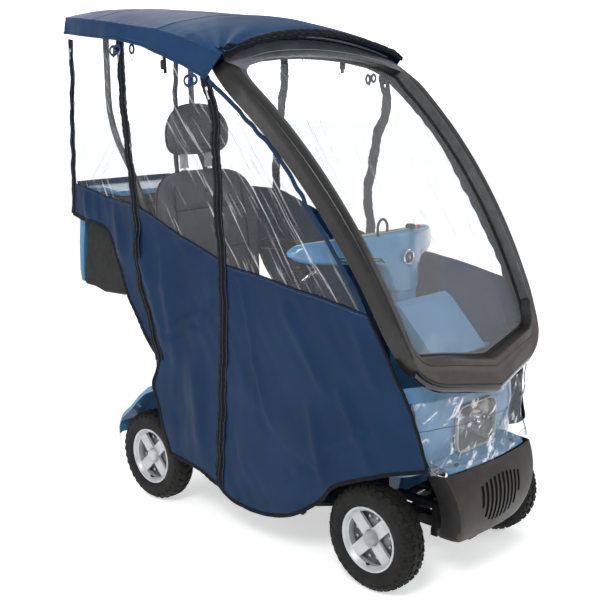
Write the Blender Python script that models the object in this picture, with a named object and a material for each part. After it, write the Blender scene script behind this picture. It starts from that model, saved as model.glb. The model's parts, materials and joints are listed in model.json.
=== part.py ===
"""A four-wheel mobility scooter with a windscreen, a fabric canopy and side curtains.

Metres, +Z up, ground at z = 0. The front faces -Y and the driver's right is -X.
"""

import math

import bpy
import numpy as np

# ---------------------------------------------------------------- driving dimensions

WHEEL_RADIUS = 0.1673
TYRE_HALF_WIDTH = 0.046
FRONT_AXLE_Y = -0.6845
REAR_AXLE_Y = 0.372
FRONT_WHEEL_X = 0.307
REAR_WHEEL_X = 0.315
KINGPIN_X = 0.232
STEERING_ARM_Y = -0.614

SCREEN_ARC_Y = 0.9346
SCREEN_ARC_Z = 0.0183
SCREEN_ARC_RADIUS = 1.916
FRAME_DEPTH = 0.062
FRAME_FLARE = 0.012
SEAL_START = 0.030
GLASS_THICKNESS = 0.004

FABRIC = 0.004
ROOF_FRONT_Y = -0.170

TILLER_PIVOT = (0.0, -0.553, 0.600)
SEAT_AXIS_Y = 0.235
SEAT_TOP_Z = 0.695
RECLINE_PIVOT = (0.0, 0.372, 0.660)
MAST_Y = 0.520
COVER_HALF_WIDTH = 0.245
ARM_PIVOT_Z = 0.893
BOX_HALF_WIDTH = 0.242
LID_PIVOT = (0.0, 0.640, 1.108)

SIDES = ((-1, "right"), (1, "left"))

# ---------------------------------------------------------------- materials


def material(name, colour, roughness, metallic=0.0, alpha=1.0):
    look = bpy.data.materials.new(name)
    look.use_nodes = True
    shader = look.node_tree.nodes["Principled BSDF"]
    shader.inputs["Base Color"].default_value = (*colour, 1.0)
    shader.inputs["Roughness"].default_value = roughness
    shader.inputs["Metallic"].default_value = metallic
    shader.inputs["Alpha"].default_value = alpha
    look.diffuse_color = (*colour, alpha)
    return look


# ---------------------------------------------------------------- mesh helpers


def signed_volume(points, faces):
    total = 0.0
    for face in faces:
        a = points[face[0]]
        for i in range(1, len(face) - 1):
            total += np.dot(a, np.cross(points[face[i]], points[face[i + 1]]))
    return total


def add_mesh(name, points, faces, look, pivot=(0.0, 0.0, 0.0), crease=35.0):
    """One closed mesh facing outwards, with its origin at the pivot."""
    points = np.asarray(points, float)
    if signed_volume(points, faces) < 0:
        faces = [tuple(reversed(face)) for face in faces]
    mesh = bpy.data.meshes.new(name)
    local = points - np.asarray(pivot)
    mesh.from_pydata([tuple(p) for p in local], [], [tuple(f) for f in faces])
    mesh.materials.append(look)
    obj = bpy.data.objects.new(name, mesh)
    obj.location = pivot
    bpy.context.scene.collection.objects.link(obj)
    shade(obj, crease)
    return obj


def shade(obj, crease=35.0):
    for polygon in obj.data.polygons:
        polygon.use_smooth = True
    obj.data.set_sharp_from_angle(angle=math.radians(crease))


def loft(name, rings, look, closed=False, pivot=(0.0, 0.0, 0.0), crease=35.0):
    """A solid through rings of equal length. An open loft is capped at both ends."""
    count = len(rings[0])
    points = [p for ring in rings for p in ring]
    faces = []
    spans = len(rings) if closed else len(rings) - 1
    for i in range(spans):
        a = i * count
        b = (i + 1) % len(rings) * count
        for j in range(count):
            k = (j + 1) % count
            faces.append((a + j, a + k, b + k, b + j))
    if not closed:
        faces.append(tuple(reversed(range(count))))
        faces.append(tuple(range((len(rings) - 1) * count, len(rings) * count)))
    return add_mesh(name, points, faces, look, pivot, crease)


def lathe(name, profile, look, centre, axis="x", segments=28, flip=False, pivot=None, closed=True):
    """Turns (along, radius) points round an axis. A point at radius 0 closes that end."""
    points, faces, rings = [], [], []
    sign = -1.0 if flip else 1.0
    for along, radius in profile:
        start = len(points)
        turns = 1 if radius == 0 else segments
        for i in range(turns):
            angle = 2 * math.pi * i / segments
            u, v, w = sign * along, radius * math.cos(angle), radius * math.sin(angle)
            local = {"x": (u, v, w), "y": (v, u, w), "z": (v, w, u)}[axis]
            points.append(tuple(np.add(centre, local)))
        rings.append((start, turns))
    last = len(rings) if closed else len(rings) - 1
    for i in range(last):
        a, a_turns = rings[i]
        b, b_turns = rings[(i + 1) % len(rings)]
        for j in range(segments):
            k = (j + 1) % segments
            if a_turns == 1 and b_turns == 1:
                break
            if a_turns == 1:
                faces.append((a, b + k, b + j))
            elif b_turns == 1:
                faces.append((a + j, a + k, b))
            else:
                faces.append((a + j, a + k, b + k, b + j))
    return add_mesh(name, points, faces, look, centre if pivot is None else pivot)


def smooth_path(points, steps=4, closed=False):
    """Points along a Catmull-Rom curve through the given points."""
    points = np.asarray(points, float)
    count = len(points)
    out = []
    for i in range(count if closed else count - 1):
        if closed:
            p0, p1, p2, p3 = (points[(i + k) % count] for k in (-1, 0, 1, 2))
        else:
            p0 = points[max(i - 1, 0)]
            p1, p2 = points[i], points[i + 1]
            p3 = points[min(i + 2, count - 1)]
        for s in range(steps):
            t = s / steps
            out.append(
                0.5
                * (
                    2 * p1
                    + (p2 - p0) * t
                    + (2 * p0 - 5 * p1 + 4 * p2 - p3) * t**2
                    + (3 * p1 - p0 - 3 * p2 + p3) * t**3
                )
            )
    if not closed:
        out.append(points[-1])
    return np.array(out)


def tube(name, path, radius, look, sides=10, closed=False, pivot=(0.0, 0.0, 0.0), flat=1.0):
    """A round bar along a path. flat squeezes the section in one direction."""
    path = np.asarray(path, float)
    count = len(path)
    rings = []
    side = None
    for i, point in enumerate(path):
        if closed:
            along = path[(i + 1) % count] - path[i - 1]
        else:
            along = path[min(i + 1, count - 1)] - path[max(i - 1, 0)]
        along = along / np.linalg.norm(along)
        if side is None:
            side = np.cross(along, (0.0, 0.0, 1.0) if abs(along[2]) < 0.9 else (1.0, 0.0, 0.0))
        side = side - along * np.dot(side, along)
        side = side / np.linalg.norm(side)
        up = np.cross(side, along)
        ring = []
        for j in range(sides):
            angle = 2 * math.pi * (j + 0.5) / sides
            ring.append(point + radius * (math.cos(angle) * side + flat * math.sin(angle) * up))
        rings.append(ring)
    return loft(name, rings, look, closed, pivot, 50.0)


def inset(outline, amount):
    """The outline moved inwards by an amount, for a counter-clockwise outline."""
    outline = np.asarray(outline, float)
    ahead = np.roll(outline, -1, axis=0) - outline
    ahead = ahead / np.linalg.norm(ahead, axis=1, keepdims=True)
    behind = np.roll(ahead, 1, axis=0)
    normal = np.column_stack([-(ahead[:, 1] + behind[:, 1]), ahead[:, 0] + behind[:, 0]])
    length = np.linalg.norm(normal, axis=1, keepdims=True)
    half = np.clip(length / 2, 0.5, 1.0)
    return outline + normal / length * amount / half


def rounded(width, height, radius, steps=3, centre=(0.0, 0.0)):
    """A rounded rectangle, counter-clockwise."""
    out = []
    for corner, (sx, sy) in enumerate(((1, 1), (-1, 1), (-1, -1), (1, -1))):
        for i in range(steps + 1):
            angle = math.pi / 2 * (corner + i / steps)
            out.append(
                (
                    centre[0] + sx * (width / 2 - radius) + radius * math.cos(angle),
                    centre[1] + sy * (height / 2 - radius) + radius * math.sin(angle),
                )
            )
    return out


def placed(outline, plane, depth):
    """The outline's points at one depth of a plane: "xy", "xz" or "yz"."""
    order = {"xy": (0, 1, 2), "xz": (0, 2, 1), "yz": (1, 2, 0)}[plane]
    out = []
    for u, v in outline:
        point = [0.0, 0.0, 0.0]
        point[order[0]] = u
        point[order[1]] = v
        point[order[2]] = depth
        out.append(tuple(point))
    return out


def prism(name, outline, plane, low, high, look, edge=0.0, pivot=(0.0, 0.0, 0.0)):
    """An outline pushed from low to high, with its long edges broken by the edge size."""
    if edge:
        small = inset(outline, edge)
        levels = ((small, low), (outline, low + edge), (outline, high - edge), (small, high))
    else:
        levels = ((outline, low), (outline, high))
    return loft(name, [placed(o, plane, d) for o, d in levels], look, False, pivot)


def block(name, low, high, look, edge=0.0, pivot=(0.0, 0.0, 0.0)):
    """A box between two corners."""
    outline = [(low[0], low[1]), (high[0], low[1]), (high[0], high[1]), (low[0], high[1])]
    return prism(name, outline, "xy", low[2], high[2], look, edge, pivot)


def shell(name, grid, thickness, look, pivot=(0.0, 0.0, 0.0), crease=35.0):
    """A closed sheet of even thickness, centred on a grid of rows and columns of points."""
    grid = np.asarray(grid, float)
    rows, cols = grid.shape[:2]
    down = np.gradient(grid, axis=0)
    over = np.gradient(grid, axis=1)
    normal = np.cross(down, over)
    normal = normal / np.linalg.norm(normal, axis=2, keepdims=True)
    top = (grid + normal * thickness / 2).reshape(-1, 3)
    under = (grid - normal * thickness / 2).reshape(-1, 3)
    points = np.concatenate([top, under])
    half = rows * cols
    faces = []
    for i in range(rows - 1):
        for j in range(cols - 1):
            a = i * cols + j
            quad = (a, a + 1, a + cols + 1, a + cols)
            faces.append(quad)
            faces.append(tuple(half + k for k in reversed(quad)))
    border = [(0, j) for j in range(cols)]
    border += [(i, cols - 1) for i in range(1, rows)]
    border += [(rows - 1, j) for j in range(cols - 2, -1, -1)]
    border += [(i, 0) for i in range(rows - 2, 0, -1)]
    for n, (i, j) in enumerate(border):
        k, m = border[(n + 1) % len(border)]
        a, b = i * cols + j, k * cols + m
        faces.append((b, a, half + a, half + b))
    return add_mesh(name, points, faces, look, pivot, crease)


def resample(points, count):
    """Evenly spaced points along a broken line."""
    points = np.asarray(points, float)
    length = np.concatenate([[0.0], np.cumsum(np.linalg.norm(np.diff(points, axis=0), axis=1))])
    at = np.linspace(0.0, length[-1], count)
    return np.column_stack([np.interp(at, length, points[:, k]) for k in range(points.shape[1])])


def patch(bottom, top, start, end, rows, cols):
    """A grid that fills four border lines: start and end run from the bottom to the top."""
    bottom, top = resample(bottom, cols), resample(top, cols)
    start, end = resample(start, rows), resample(end, rows)
    v = np.linspace(0.0, 1.0, rows)[:, None, None]
    u = np.linspace(0.0, 1.0, cols)[None, :, None]
    across = (1 - u) * start[:, None] + u * end[:, None]
    along = (1 - v) * bottom[None] + v * top[None]
    corners = (1 - u) * (1 - v) * bottom[0] + u * (1 - v) * bottom[-1]
    corners = corners + (1 - u) * v * top[0] + u * v * top[-1]
    return across + along - corners


def carve(obj, tools, operation="DIFFERENCE", crease=35.0):
    """Cuts the tools from the object, or joins them to it, and removes the tools."""
    for tool in tools:
        modifier = obj.modifiers.new("carve", "BOOLEAN")
        modifier.operation = operation
        modifier.solver = "EXACT"
        modifier.object = tool
    bpy.context.view_layer.update()
    graph = bpy.context.evaluated_depsgraph_get()
    mesh = bpy.data.meshes.new_from_object(obj.evaluated_get(graph))
    obj.modifiers.clear()
    look = obj.data.materials[0]
    obj.data = mesh
    mesh.materials.clear()
    mesh.materials.append(look)
    for polygon in mesh.polygons:
        polygon.material_index = 0
    shade(obj, crease)
    for tool in tools:
        bpy.data.objects.remove(tool)
    return obj


def join(obj, tools, crease=35.0):
    return carve(obj, tools, "UNION", crease)


# ---------------------------------------------------------------- shared outlines of the cabin


def screen_y(z):
    """The arc of the windscreen seen from the side."""
    return SCREEN_ARC_Y - math.sqrt(SCREEN_ARC_RADIUS**2 - (z - SCREEN_ARC_Z) ** 2)


def cabin_half_width(y, z):
    """Half the width of the curtained cabin at a place along it and a height."""
    heights = (0.10, 0.45, 0.75, 1.12, 1.30, 1.45, 1.64, 1.80)
    places = (-1.0, -0.75, -0.45, -0.1, 0.41, 0.65, 0.86, 1.0)
    widths = (
        (0.25, 0.26, 0.30, 0.37, 0.39, 0.41, 0.43, 0.43),
        (0.34, 0.34, 0.35, 0.375, 0.395, 0.415, 0.435, 0.435),
        (0.365, 0.37, 0.375, 0.385, 0.40, 0.42, 0.437, 0.437),
        (0.365, 0.37, 0.37, 0.368, 0.388, 0.42, 0.437, 0.437),
        (0.365, 0.37, 0.36, 0.349, 0.368, 0.388, 0.41, 0.41),
        (0.365, 0.36, 0.34, 0.305, 0.31, 0.325, 0.335, 0.335),
        (0.30, 0.30, 0.30, 0.272, 0.27, 0.268, 0.272, 0.272),
        (0.25, 0.25, 0.25, 0.24, 0.235, 0.23, 0.232, 0.232),
    )
    row = [np.interp(z, heights, w) for w in widths]
    return float(np.interp(y, places, row))


def roof_half_width(y):
    places = (-0.174, -0.10, 0.022, 0.156, 0.30, 0.476, 0.65, 0.80, 0.931)
    widths = (0.434, 0.434, 0.431, 0.424, 0.412, 0.390, 0.345, 0.300, 0.252)
    return float(np.interp(y, places, widths))


def roof_edge_z(y):
    return float(
        np.interp(y, (-0.174, 0.022, 0.156, 0.476, 0.931), (1.605, 1.665, 1.694, 1.733, 1.770))
    )


def roof_crown_z(y):
    places = (-0.17, -0.10, 0.10, 0.40, 0.60, 0.85, 0.935)
    return float(np.interp(y, places, (1.680, 1.706, 1.748, 1.780, 1.793, 1.806, 1.800)))


# ---------------------------------------------------------------- chassis and running gear


def chassis_frame(look):
    """Welded square tube: low and upper rails, cross members, seat column and box carrier."""
    frame = block("chassis_frame", (-0.095, -0.880, 0.145), (-0.055, 0.285, 0.180), look)
    bars = [((0.055, -0.880, 0.145), (0.095, 0.285, 0.180))]
    crosses = ((-0.790, 0.156), (-0.644, 0.156), (-0.300, 0.240))
    crosses += ((0.020, 0.240), (0.235, 0.240), (0.270, 0.180))
    for y, wide in crosses:
        bars.append(((-wide, y - 0.012, 0.150), (wide, y + 0.012, 0.175)))
    bars.append(((-0.180, MAST_Y - 0.012, 0.150), (0.180, MAST_Y + 0.012, 0.175)))
    bars.append(((-0.175, MAST_Y - 0.012, 0.446), (0.175, MAST_Y + 0.012, 0.466)))
    bars.append(((-0.040, 0.218, 0.160), (0.040, 0.252, 0.420)))
    bars.append(((-0.060, 0.185, 0.414), (0.060, 0.285, 0.420)))
    for side in (-1, 1):
        for x, half, y0, y1, z0, z1 in (
            (0.145, 0.011, -0.905, -0.636, 0.238, 0.258),
            (0.145, 0.010, -0.800, -0.780, 0.155, 0.250),
            (0.145, 0.010, -0.654, -0.634, 0.155, 0.250),
            (0.165, 0.014, 0.262, 0.282, 0.155, 0.235),
            (0.165, 0.014, 0.262, 0.540, 0.205, 0.235),
            (0.165, 0.013, MAST_Y - 0.010, MAST_Y + 0.010, 0.155, 0.225),
            (0.170, 0.016, MAST_Y - 0.015, MAST_Y + 0.015, 0.215, 0.470),
            (0.135, 0.010, MAST_Y - 0.010, MAST_Y + 0.010, 0.450, 0.705),
            (0.135, 0.010, MAST_Y - 0.010, 0.760, 0.700, 0.716),
        ):
            bars.append(((side * x - half, y0, z0), (side * x + half, y1, z1)))
    return join(frame, [block("t", low, high, look) for low, high in bars])


def floor_pan(look):
    """Footwell tray: wide behind the front wheels, narrow between them, with side sills."""
    half = [
        (0.150, -0.585),
        (0.160, -0.520),
        (0.240, -0.480),
        (0.300, -0.420),
        (0.305, 0.100),
        (0.285, 0.160),
        (0.250, 0.175),
    ]
    outline = half + [(-x, y) for x, y in reversed(half)]
    pan = prism("floor_pan", outline, "xy", 0.182, 0.198, look, 0.003)
    sill = [(0.285, 0.143), (0.302, 0.138), (0.306, 0.150), (0.306, 0.215), (0.290, 0.215)]
    sills = [prism("t", sill, "xz", -0.370, 0.095, look)]
    sills.append(prism("t", [(-x, z) for x, z in sill], "xz", -0.370, 0.095, look))
    return join(pan, sills)


def tool_cylinder(centre, radius, half, axis="z", segments=24):
    """A cutter: a plain cylinder about a centre."""
    profile = ((-half, 0.0), (-half, radius), (half, radius), (half, 0.0))
    look = bpy.data.materials[0]
    return lathe("tool", profile, look, centre, axis, segments, closed=False)


def rear_body_cover(look):
    """Moulded cover over the batteries and the motor, with arches over the rear wheels."""
    side_view = [
        (0.556, 0.215),
        (0.556, 0.285),
        (0.530, 0.318),
        (0.480, 0.352),
        (0.425, 0.403),
        (0.385, 0.434),
        (0.341, 0.453),
        (0.290, 0.458),
        (0.060, 0.458),
        (0.020, 0.445),
        (0.005, 0.410),
        (0.005, 0.215),
    ]
    outer = prism("rear_body_cover", side_view, "yz", -COVER_HALF_WIDTH, COVER_HALF_WIDTH, look, 0.010)
    inner = inset(side_view, 0.005)
    inner[0] = (inner[0][0], 0.205)
    inner[-1] = (inner[-1][0], 0.205)
    wall = COVER_HALF_WIDTH - 0.005
    hollow = prism("tool", inner, "yz", -wall, wall, look, 0.009)
    cuts = [hollow, block("tool", (-0.062, 0.183, 0.40), (0.062, 0.287, 0.50), look)]
    cuts.append(block("tool", (0.047, 0.445, 0.31), (0.068, 0.530, 0.45), look))
    for side in (-1, 1):
        x = side * 0.170
        cuts.append(block("tool", (x - 0.018, MAST_Y - 0.018, 0.25), (x + 0.018, MAST_Y + 0.018, 0.50), look))
    carve(outer, cuts)
    return join(outer, [wheel_arch(side, look) for side in (-1, 1)])


def wheel_arch(side, look):
    """Mudguard over one rear wheel: low behind it, swept up to the top of the cover before it."""
    line = [
        (0.554, 0.218),
        (0.553, 0.262),
        (0.528, 0.305),
        (0.475, 0.347),
        (0.422, 0.397),
        (0.381, 0.428),
        (0.341, 0.447),
        (0.290, 0.452),
        (0.235, 0.448),
        (0.203, 0.430),
        (0.190, 0.395),
        (0.186, 0.310),
        (0.184, 0.218),
    ]
    across = ((0.2430, 0.0), (0.345, 0.0), (0.356, 0.006), (0.358, 0.022))
    grid = [[(side * x, y, z - drop) for x, drop in across] for y, z in line]
    return shell("t", grid, 0.003, look)


def battery(name, side, look):
    x0, x1 = sorted((side * 0.050, side * 0.225))
    case = prism(
        name,
        rounded(abs(x1 - x0), 0.235, 0.008, 2, ((x0 + x1) / 2, 0.140)),
        "xy",
        0.199,
        0.375,
        look,
        0.003,
    )
    posts = []
    for dx in (-0.055, 0.055):
        posts.append(tool_cylinder(((x0 + x1) / 2 + dx, 0.060, 0.378), 0.008, 0.010, "z", 10))
    return join(case, posts)


def transaxle(look):
    """Drive motor and differential, with axle stubs that carry the rear wheels."""
    x = 0.262
    centre = (0.0, REAR_AXLE_Y, WHEEL_RADIUS)
    profile = (
        (-0.322, 0.0),
        (-0.322, 0.0100),
        (-x, 0.0100),
        (-x, 0.026),
        (-0.130, 0.026),
        (-0.110, 0.044),
        (-0.052, 0.047),
        (-0.045, 0.030),
        (0.045, 0.030),
        (0.052, 0.047),
        (0.110, 0.044),
        (0.130, 0.026),
        (x, 0.026),
        (x, 0.0100),
        (0.322, 0.0100),
        (0.322, 0.0),
    )
    housing = lathe("transaxle", profile, look, centre, "x", 16, closed=False)
    motor = tool_cylinder((0.0, REAR_AXLE_Y + 0.065, 0.245), 0.050, 0.105, "x", 18)
    neck = block("tool", (-0.040, 0.360, 0.185), (0.040, 0.440, 0.250), look)
    mount = block("tool", (-0.030, 0.445, 0.1754), (0.030, MAST_Y + 0.010, 0.215), look)
    return join(housing, [motor, neck, mount])


def front_axle_beam(look):
    """Cross beam with a forked end for each kingpin."""
    beam = block("front_axle_beam", (-0.210, -0.700, 0.1815), (0.210, -0.669, 0.212), look)
    parts = []
    for side in (-1, 1):
        for x0, x1, z0, z1 in (
            (0.196, 0.210, 0.118, 0.212),
            (0.200, 0.245, 0.201, 0.212),
            (0.200, 0.245, 0.118, 0.128),
        ):
            a, b = sorted((side * x0, side * x1))
            parts.append(block("t", (a, -0.700, z0), (b, -0.669, z1), look))
    return join(beam, parts)


def knuckle(name, side, look):
    """Kingpin barrel with the stub axle and the steering arm."""
    pivot = (side * KINGPIN_X, FRONT_AXLE_Y, WHEEL_RADIUS)
    barrel = lathe(
        name,
        ((0.1285, 0.0), (0.1285, 0.013), (0.2005, 0.013), (0.2005, 0.0)),
        look,
        (pivot[0], pivot[1], 0.0),
        "z",
        16,
        pivot=pivot,
        closed=False,
    )
    stub = tool_cylinder((side * 0.274, FRONT_AXLE_Y, WHEEL_RADIUS), 0.0100, 0.040, "x", 16)
    outline = [(0.008, -0.006), (0.000, 0.082), (-0.016, 0.082), (-0.008, -0.006)]
    outline = [(pivot[0] + side * x, FRONT_AXLE_Y + y) for x, y in outline]
    arm = prism("t", outline, "xy", 0.182, 0.190, look)
    return join(barrel, [stub, arm])


def tie_rod(look):
    path = [(-0.231, STEERING_ARM_Y, 0.1970), (0.231, STEERING_ARM_Y, 0.1970)]
    rod = tube("tie_rod", path, 0.006, look, 10, pivot=(0.0, STEERING_ARM_Y, 0.1970))
    ends = []
    for side in (-1, 1):
        ends.append(tool_cylinder((side * 0.224, STEERING_ARM_Y, 0.1980), 0.0105, 0.0075, "z", 12))
    return join(rod, ends)


def tyre(name, centre, look):
    profile = (
        (-0.034, 0.1007),
        (-TYRE_HALF_WIDTH, 0.130),
        (-0.041, 0.156),
        (-0.022, WHEEL_RADIUS),
        (0.022, WHEEL_RADIUS),
        (0.041, 0.156),
        (TYRE_HALF_WIDTH, 0.130),
        (0.034, 0.1007),
    )
    return lathe(name, profile, look, centre, "x", 24)


def rim_mesh(look):
    """Cast wheel: barrel, dished face with four windows, and a round hub cap."""
    profile = (
        (-0.028, 0.0108),
        (0.012, 0.0108),
        (0.012, 0.0),
        (0.037, 0.0),
        (0.036, 0.020),
        (0.024, 0.040),
        (0.024, 0.086),
        (0.0395, 0.0985),
        (0.0395, 0.1030),
        (0.0374, 0.1030),
        (0.0350, 0.1002),
        (-0.0350, 0.1002),
        (-0.0395, 0.1020),
        (-0.0395, 0.0965),
        (0.012, 0.0915),
        (0.014, 0.030),
        (-0.028, 0.022),
    )
    wheel = lathe("rim", profile, look, (0.0, 0.0, 0.0), "x", 24)
    cuts = []
    for i in range(4):
        middle = math.pi / 2 * i
        outline = []
        for radius, spread in ((0.047, 0.46), (0.053, 0.56), (0.078, 0.52), (0.083, 0.42)):
            outline.append((radius, -spread))
        for radius, spread in ((0.084, 0.0), (0.083, 0.42), (0.078, 0.52), (0.053, 0.56), (0.047, 0.46)):
            outline.append((radius, spread))
        flat = [(r * math.cos(middle + a), r * math.sin(middle + a)) for r, a in outline]
        cuts.append(prism("t", flat, "yz", 0.005, 0.045, look))
    return carve(wheel, cuts, crease=30.0)


def wheels(tyre_look, rim_look):
    pattern = rim_mesh(rim_look)
    for end, y, x in (("front", FRONT_AXLE_Y, FRONT_WHEEL_X), ("rear", REAR_AXLE_Y, REAR_WHEEL_X)):
        for side, word in SIDES:
            centre = (side * x, y, WHEEL_RADIUS)
            tyre(f"tyre_{end}_{word}", centre, tyre_look)
            rim = bpy.data.objects.new(f"rim_{end}_{word}", pattern.data)
            rim.location = centre
            rim.rotation_euler = (0.0, 0.0, 0.0 if side > 0 else math.pi)
            bpy.context.scene.collection.objects.link(rim)
    bpy.data.objects.remove(pattern)


# ---------------------------------------------------------------- front body


def shroud_outline(z):
    """Half of the front body in plan at one height, from the middle to the side."""
    t = (z - 0.365) / (0.655 - 0.365)
    corner = 0.315 + 0.020 * t
    front = -0.822 + 0.010 * abs(2 * t - 1)
    return [
        (0.0, front),
        (0.10, front + 0.003),
        (0.19, front + 0.012),
        (0.255, front + 0.034),
        (corner - 0.018, front + 0.075),
        (corner + 0.004, front + 0.130),
        (corner + 0.010, front + 0.210),
        (corner + 0.008, -0.545),
        (corner + 0.004, -0.505),
    ]


def front_shroud(look):
    """Curved nose panel that wraps round to the front mudguards."""
    grid = []
    for z in (0.368, 0.386, 0.45, 0.52, 0.59, 0.645):
        half = shroud_outline(z)
        lift = 0.014 if z < 0.37 else 0.0
        line = [(-x, y, z) for x, y in reversed(half[1:])] + [(x, y, z) for x, y in half]
        grid.append([(x * (1 - lift), y + lift * 0.8, z) for x, y, z in line])
    panel = shell("front_shroud", grid, 0.004, look)
    opening = prism("t", rounded(0.196, 0.164, 0.032, 3, (0.0, 0.47)), "xz", -0.90, -0.76, look)
    return carve(panel, [opening])


def headlight_housing(look):
    outer = rounded(0.190, 0.158, 0.030, 3, (0.0, 0.47))
    rings = [
        placed(outer, "xz", -0.832),
        placed(outer, "xz", -0.790),
        placed(inset(outer, 0.020), "xz", -0.755),
        placed(inset(outer, 0.040), "xz", -0.745),
        placed(inset(outer, 0.045), "xz", -0.752),
        placed(inset(outer, 0.026), "xz", -0.765),
        placed(inset(outer, 0.006), "xz", -0.800),
        placed(inset(outer, 0.006), "xz", -0.832),
    ]
    count = len(outer)
    points = [p for ring in rings for p in ring]
    faces = []
    for i in (0, 1, 2, 4, 5, 6):
        for j in range(count):
            k = (j + 1) % count
            a, b = i * count, (i + 1) * count
            faces.append((a + j, a + k, b + k, b + j))
    faces.append(tuple(range(3 * count, 4 * count)))
    faces.append(tuple(reversed(range(4 * count, 5 * count))))
    for j in range(count):
        k = (j + 1) % count
        faces.append((7 * count + j, 7 * count + k, k, j))
    return add_mesh("headlight_housing", points, faces, look)


def headlight_lens(look):
    outer = rounded(0.1770, 0.1450, 0.0240, 3, (0.0, 0.47))
    rings = [
        placed(outer, "xz", -0.818),
        placed(outer, "xz", -0.834),
        placed(inset(outer, 0.010), "xz", -0.841),
        placed(inset(outer, 0.030), "xz", -0.845),
    ]
    return loft("headlight_lens", rings, look)


def bumper_y(x, z):
    return -0.930 + 0.44 * x**2 + 2.6 * (z - 0.280) ** 2


def front_bumper(look):
    """Curved nose guard with a group of twelve upright slots."""
    grid = []
    for i in range(7):
        z = 0.158 + (0.385 - 0.158) * i / 6
        edge = 0.148 + (0.222 - 0.148) * ((z - 0.158) / 0.227) ** 0.8
        half = [edge * k / 4 for k in range(5)]
        row = [(x, bumper_y(x, z), z) for x in half]
        last = bumper_y(edge, z)
        row += [(edge + 0.006, last + 0.008, z), (edge + 0.010, last + 0.022, z)]
        row += [(edge + 0.012, last + 0.046, z), (edge + 0.012, last + 0.066, z)]
        grid.append([(-x, y, z) for x, y, z in reversed(row[1:])] + row)
    guard = shell("front_bumper", grid, 0.006, look)
    cuts = []
    for i in range(12):
        x = (i - 5.5) * 0.0165
        end = min(i, 11 - i)
        low = (0.262, 0.222, 0.206, 0.200, 0.196, 0.194)[end]
        high = (0.303, 0.306, 0.308, 0.309, 0.310, 0.311)[end]
        slot = rounded(0.0066, high - low, 0.0030, 1, (x, (low + high) / 2))
        cuts.append(prism("t", slot, "xz", -0.990, -0.850, look))
    return carve(guard, cuts, crease=30.0)


def leg_shield(look):
    """Dashboard column: a wall facing the driver's legs, two cheeks and a sloping top plate."""
    outer = [
        (-0.590, 0.215),
        (-0.590, 0.500),
        (-0.588, 0.790),
        (-0.588, 0.838),
        (-0.603, 0.854),
        (-0.626, 0.842),
        (-0.704, 0.764),
        (-0.768, 0.696),
    ]
    inner = [
        (-0.764, 0.688),
        (-0.701, 0.754),
        (-0.625, 0.830),
        (-0.606, 0.843),
        (-0.596, 0.834),
        (-0.594, 0.790),
        (-0.596, 0.500),
        (-0.596, 0.215),
    ]
    rings = [placed(outer + inner, "yz", x) for x in (-0.130, 0.130)]
    plate = loft("leg_shield", rings, look)
    cheek = [
        (-0.591, 0.215),
        (-0.591, 0.500),
        (-0.589, 0.790),
        (-0.590, 0.836),
        (-0.604, 0.851),
        (-0.626, 0.839),
        (-0.704, 0.761),
        (-0.766, 0.692),
        (-0.766, 0.420),
        (-0.655, 0.380),
        (-0.620, 0.215),
    ]
    cheeks = [prism("t", cheek, "yz", x, x + 0.0055, look) for x in (-0.1295, 0.124)]
    carve(plate, [block("t", (-0.032, -0.620, 0.350), (0.032, -0.560, 0.610), look)])
    return join(plate, cheeks)


# ---------------------------------------------------------------- windscreen and canopy


def screen_stations():
    """Corner points, outward and backward directions all round the windscreen frame."""
    right = []
    for z in (0.842, 0.90, 0.97, 1.05, 1.14, 1.23, 1.31, 1.39, 1.46, 1.52):
        y = screen_y(z)
        slope = (z - SCREEN_ARC_Z) / (SCREEN_ARC_Y - y)
        back = np.array([0.0, 1.0, -slope])
        back = back / np.linalg.norm(back)
        outer = (-(0.338 + 0.115 * (z - 0.781)), y, z)
        z2 = z + 0.014 * max(0.0, 1 - (z - 0.842) / 0.3)
        inner = (-(0.310 + 0.09 * (z2 - 0.793)), screen_y(z2), z2)
        right.append((outer, inner, back))
    header = [
        ((-0.414, -0.172, 1.577), (-0.374, -0.222, 1.551), (0.0, 0.90, -0.43)),
        ((-0.395, -0.140, 1.600), (-0.345, -0.195, 1.568), (0.0, 0.94, -0.33)),
        ((-0.350, -0.112, 1.624), (-0.300, -0.175, 1.583), (0.0, 0.97, -0.25)),
        ((-0.235, -0.088, 1.652), (-0.200, -0.152, 1.600), (0.0, 0.98, -0.20)),
        ((-0.120, -0.076, 1.667), (-0.100, -0.140, 1.608), (0.0, 0.98, -0.20)),
        ((0.0, -0.072, 1.672), (0.0, -0.136, 1.611), (0.0, 0.98, -0.20)),
    ]
    sill = [
        ((0.0, -0.916, 0.632), (0.0, -0.891, 0.702), (0.0, 0.98, 0.17)),
        ((-0.066, -0.905, 0.642), (-0.097, -0.878, 0.719), (0.02, 0.98, 0.14)),
        ((-0.131, -0.892, 0.653), (-0.194, -0.865, 0.738), (0.04, 0.98, 0.10)),
        ((-0.200, -0.881, 0.664), (-0.245, -0.853, 0.744), (0.08, 0.98, 0.06)),
        ((-0.255, -0.872, 0.678), (-0.281, -0.838, 0.752), (0.14, 0.98, 0.00)),
        ((-0.300, -0.855, 0.706), (-0.303, -0.825, 0.775), (0.16, 0.97, -0.12)),
        ((-0.326, -0.836, 0.748), (-0.314, -0.807, 0.815), (0.10, 0.94, -0.28)),
    ]
    half = sill + right + header
    out = [tuple(np.array(v, float) for v in station) for station in half]
    mirror = np.array([-1.0, 1.0, 1.0])
    other = [tuple(v * mirror for v in station) for station in out[-2:0:-1]]
    return out, out + other


def frame_directions(outer, inner, back):
    """Unit vectors out of the opening and towards the cabin."""
    back = back / np.linalg.norm(back)
    out = outer - inner
    out = out - back * np.dot(out, back)
    return out / np.linalg.norm(out), back


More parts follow.
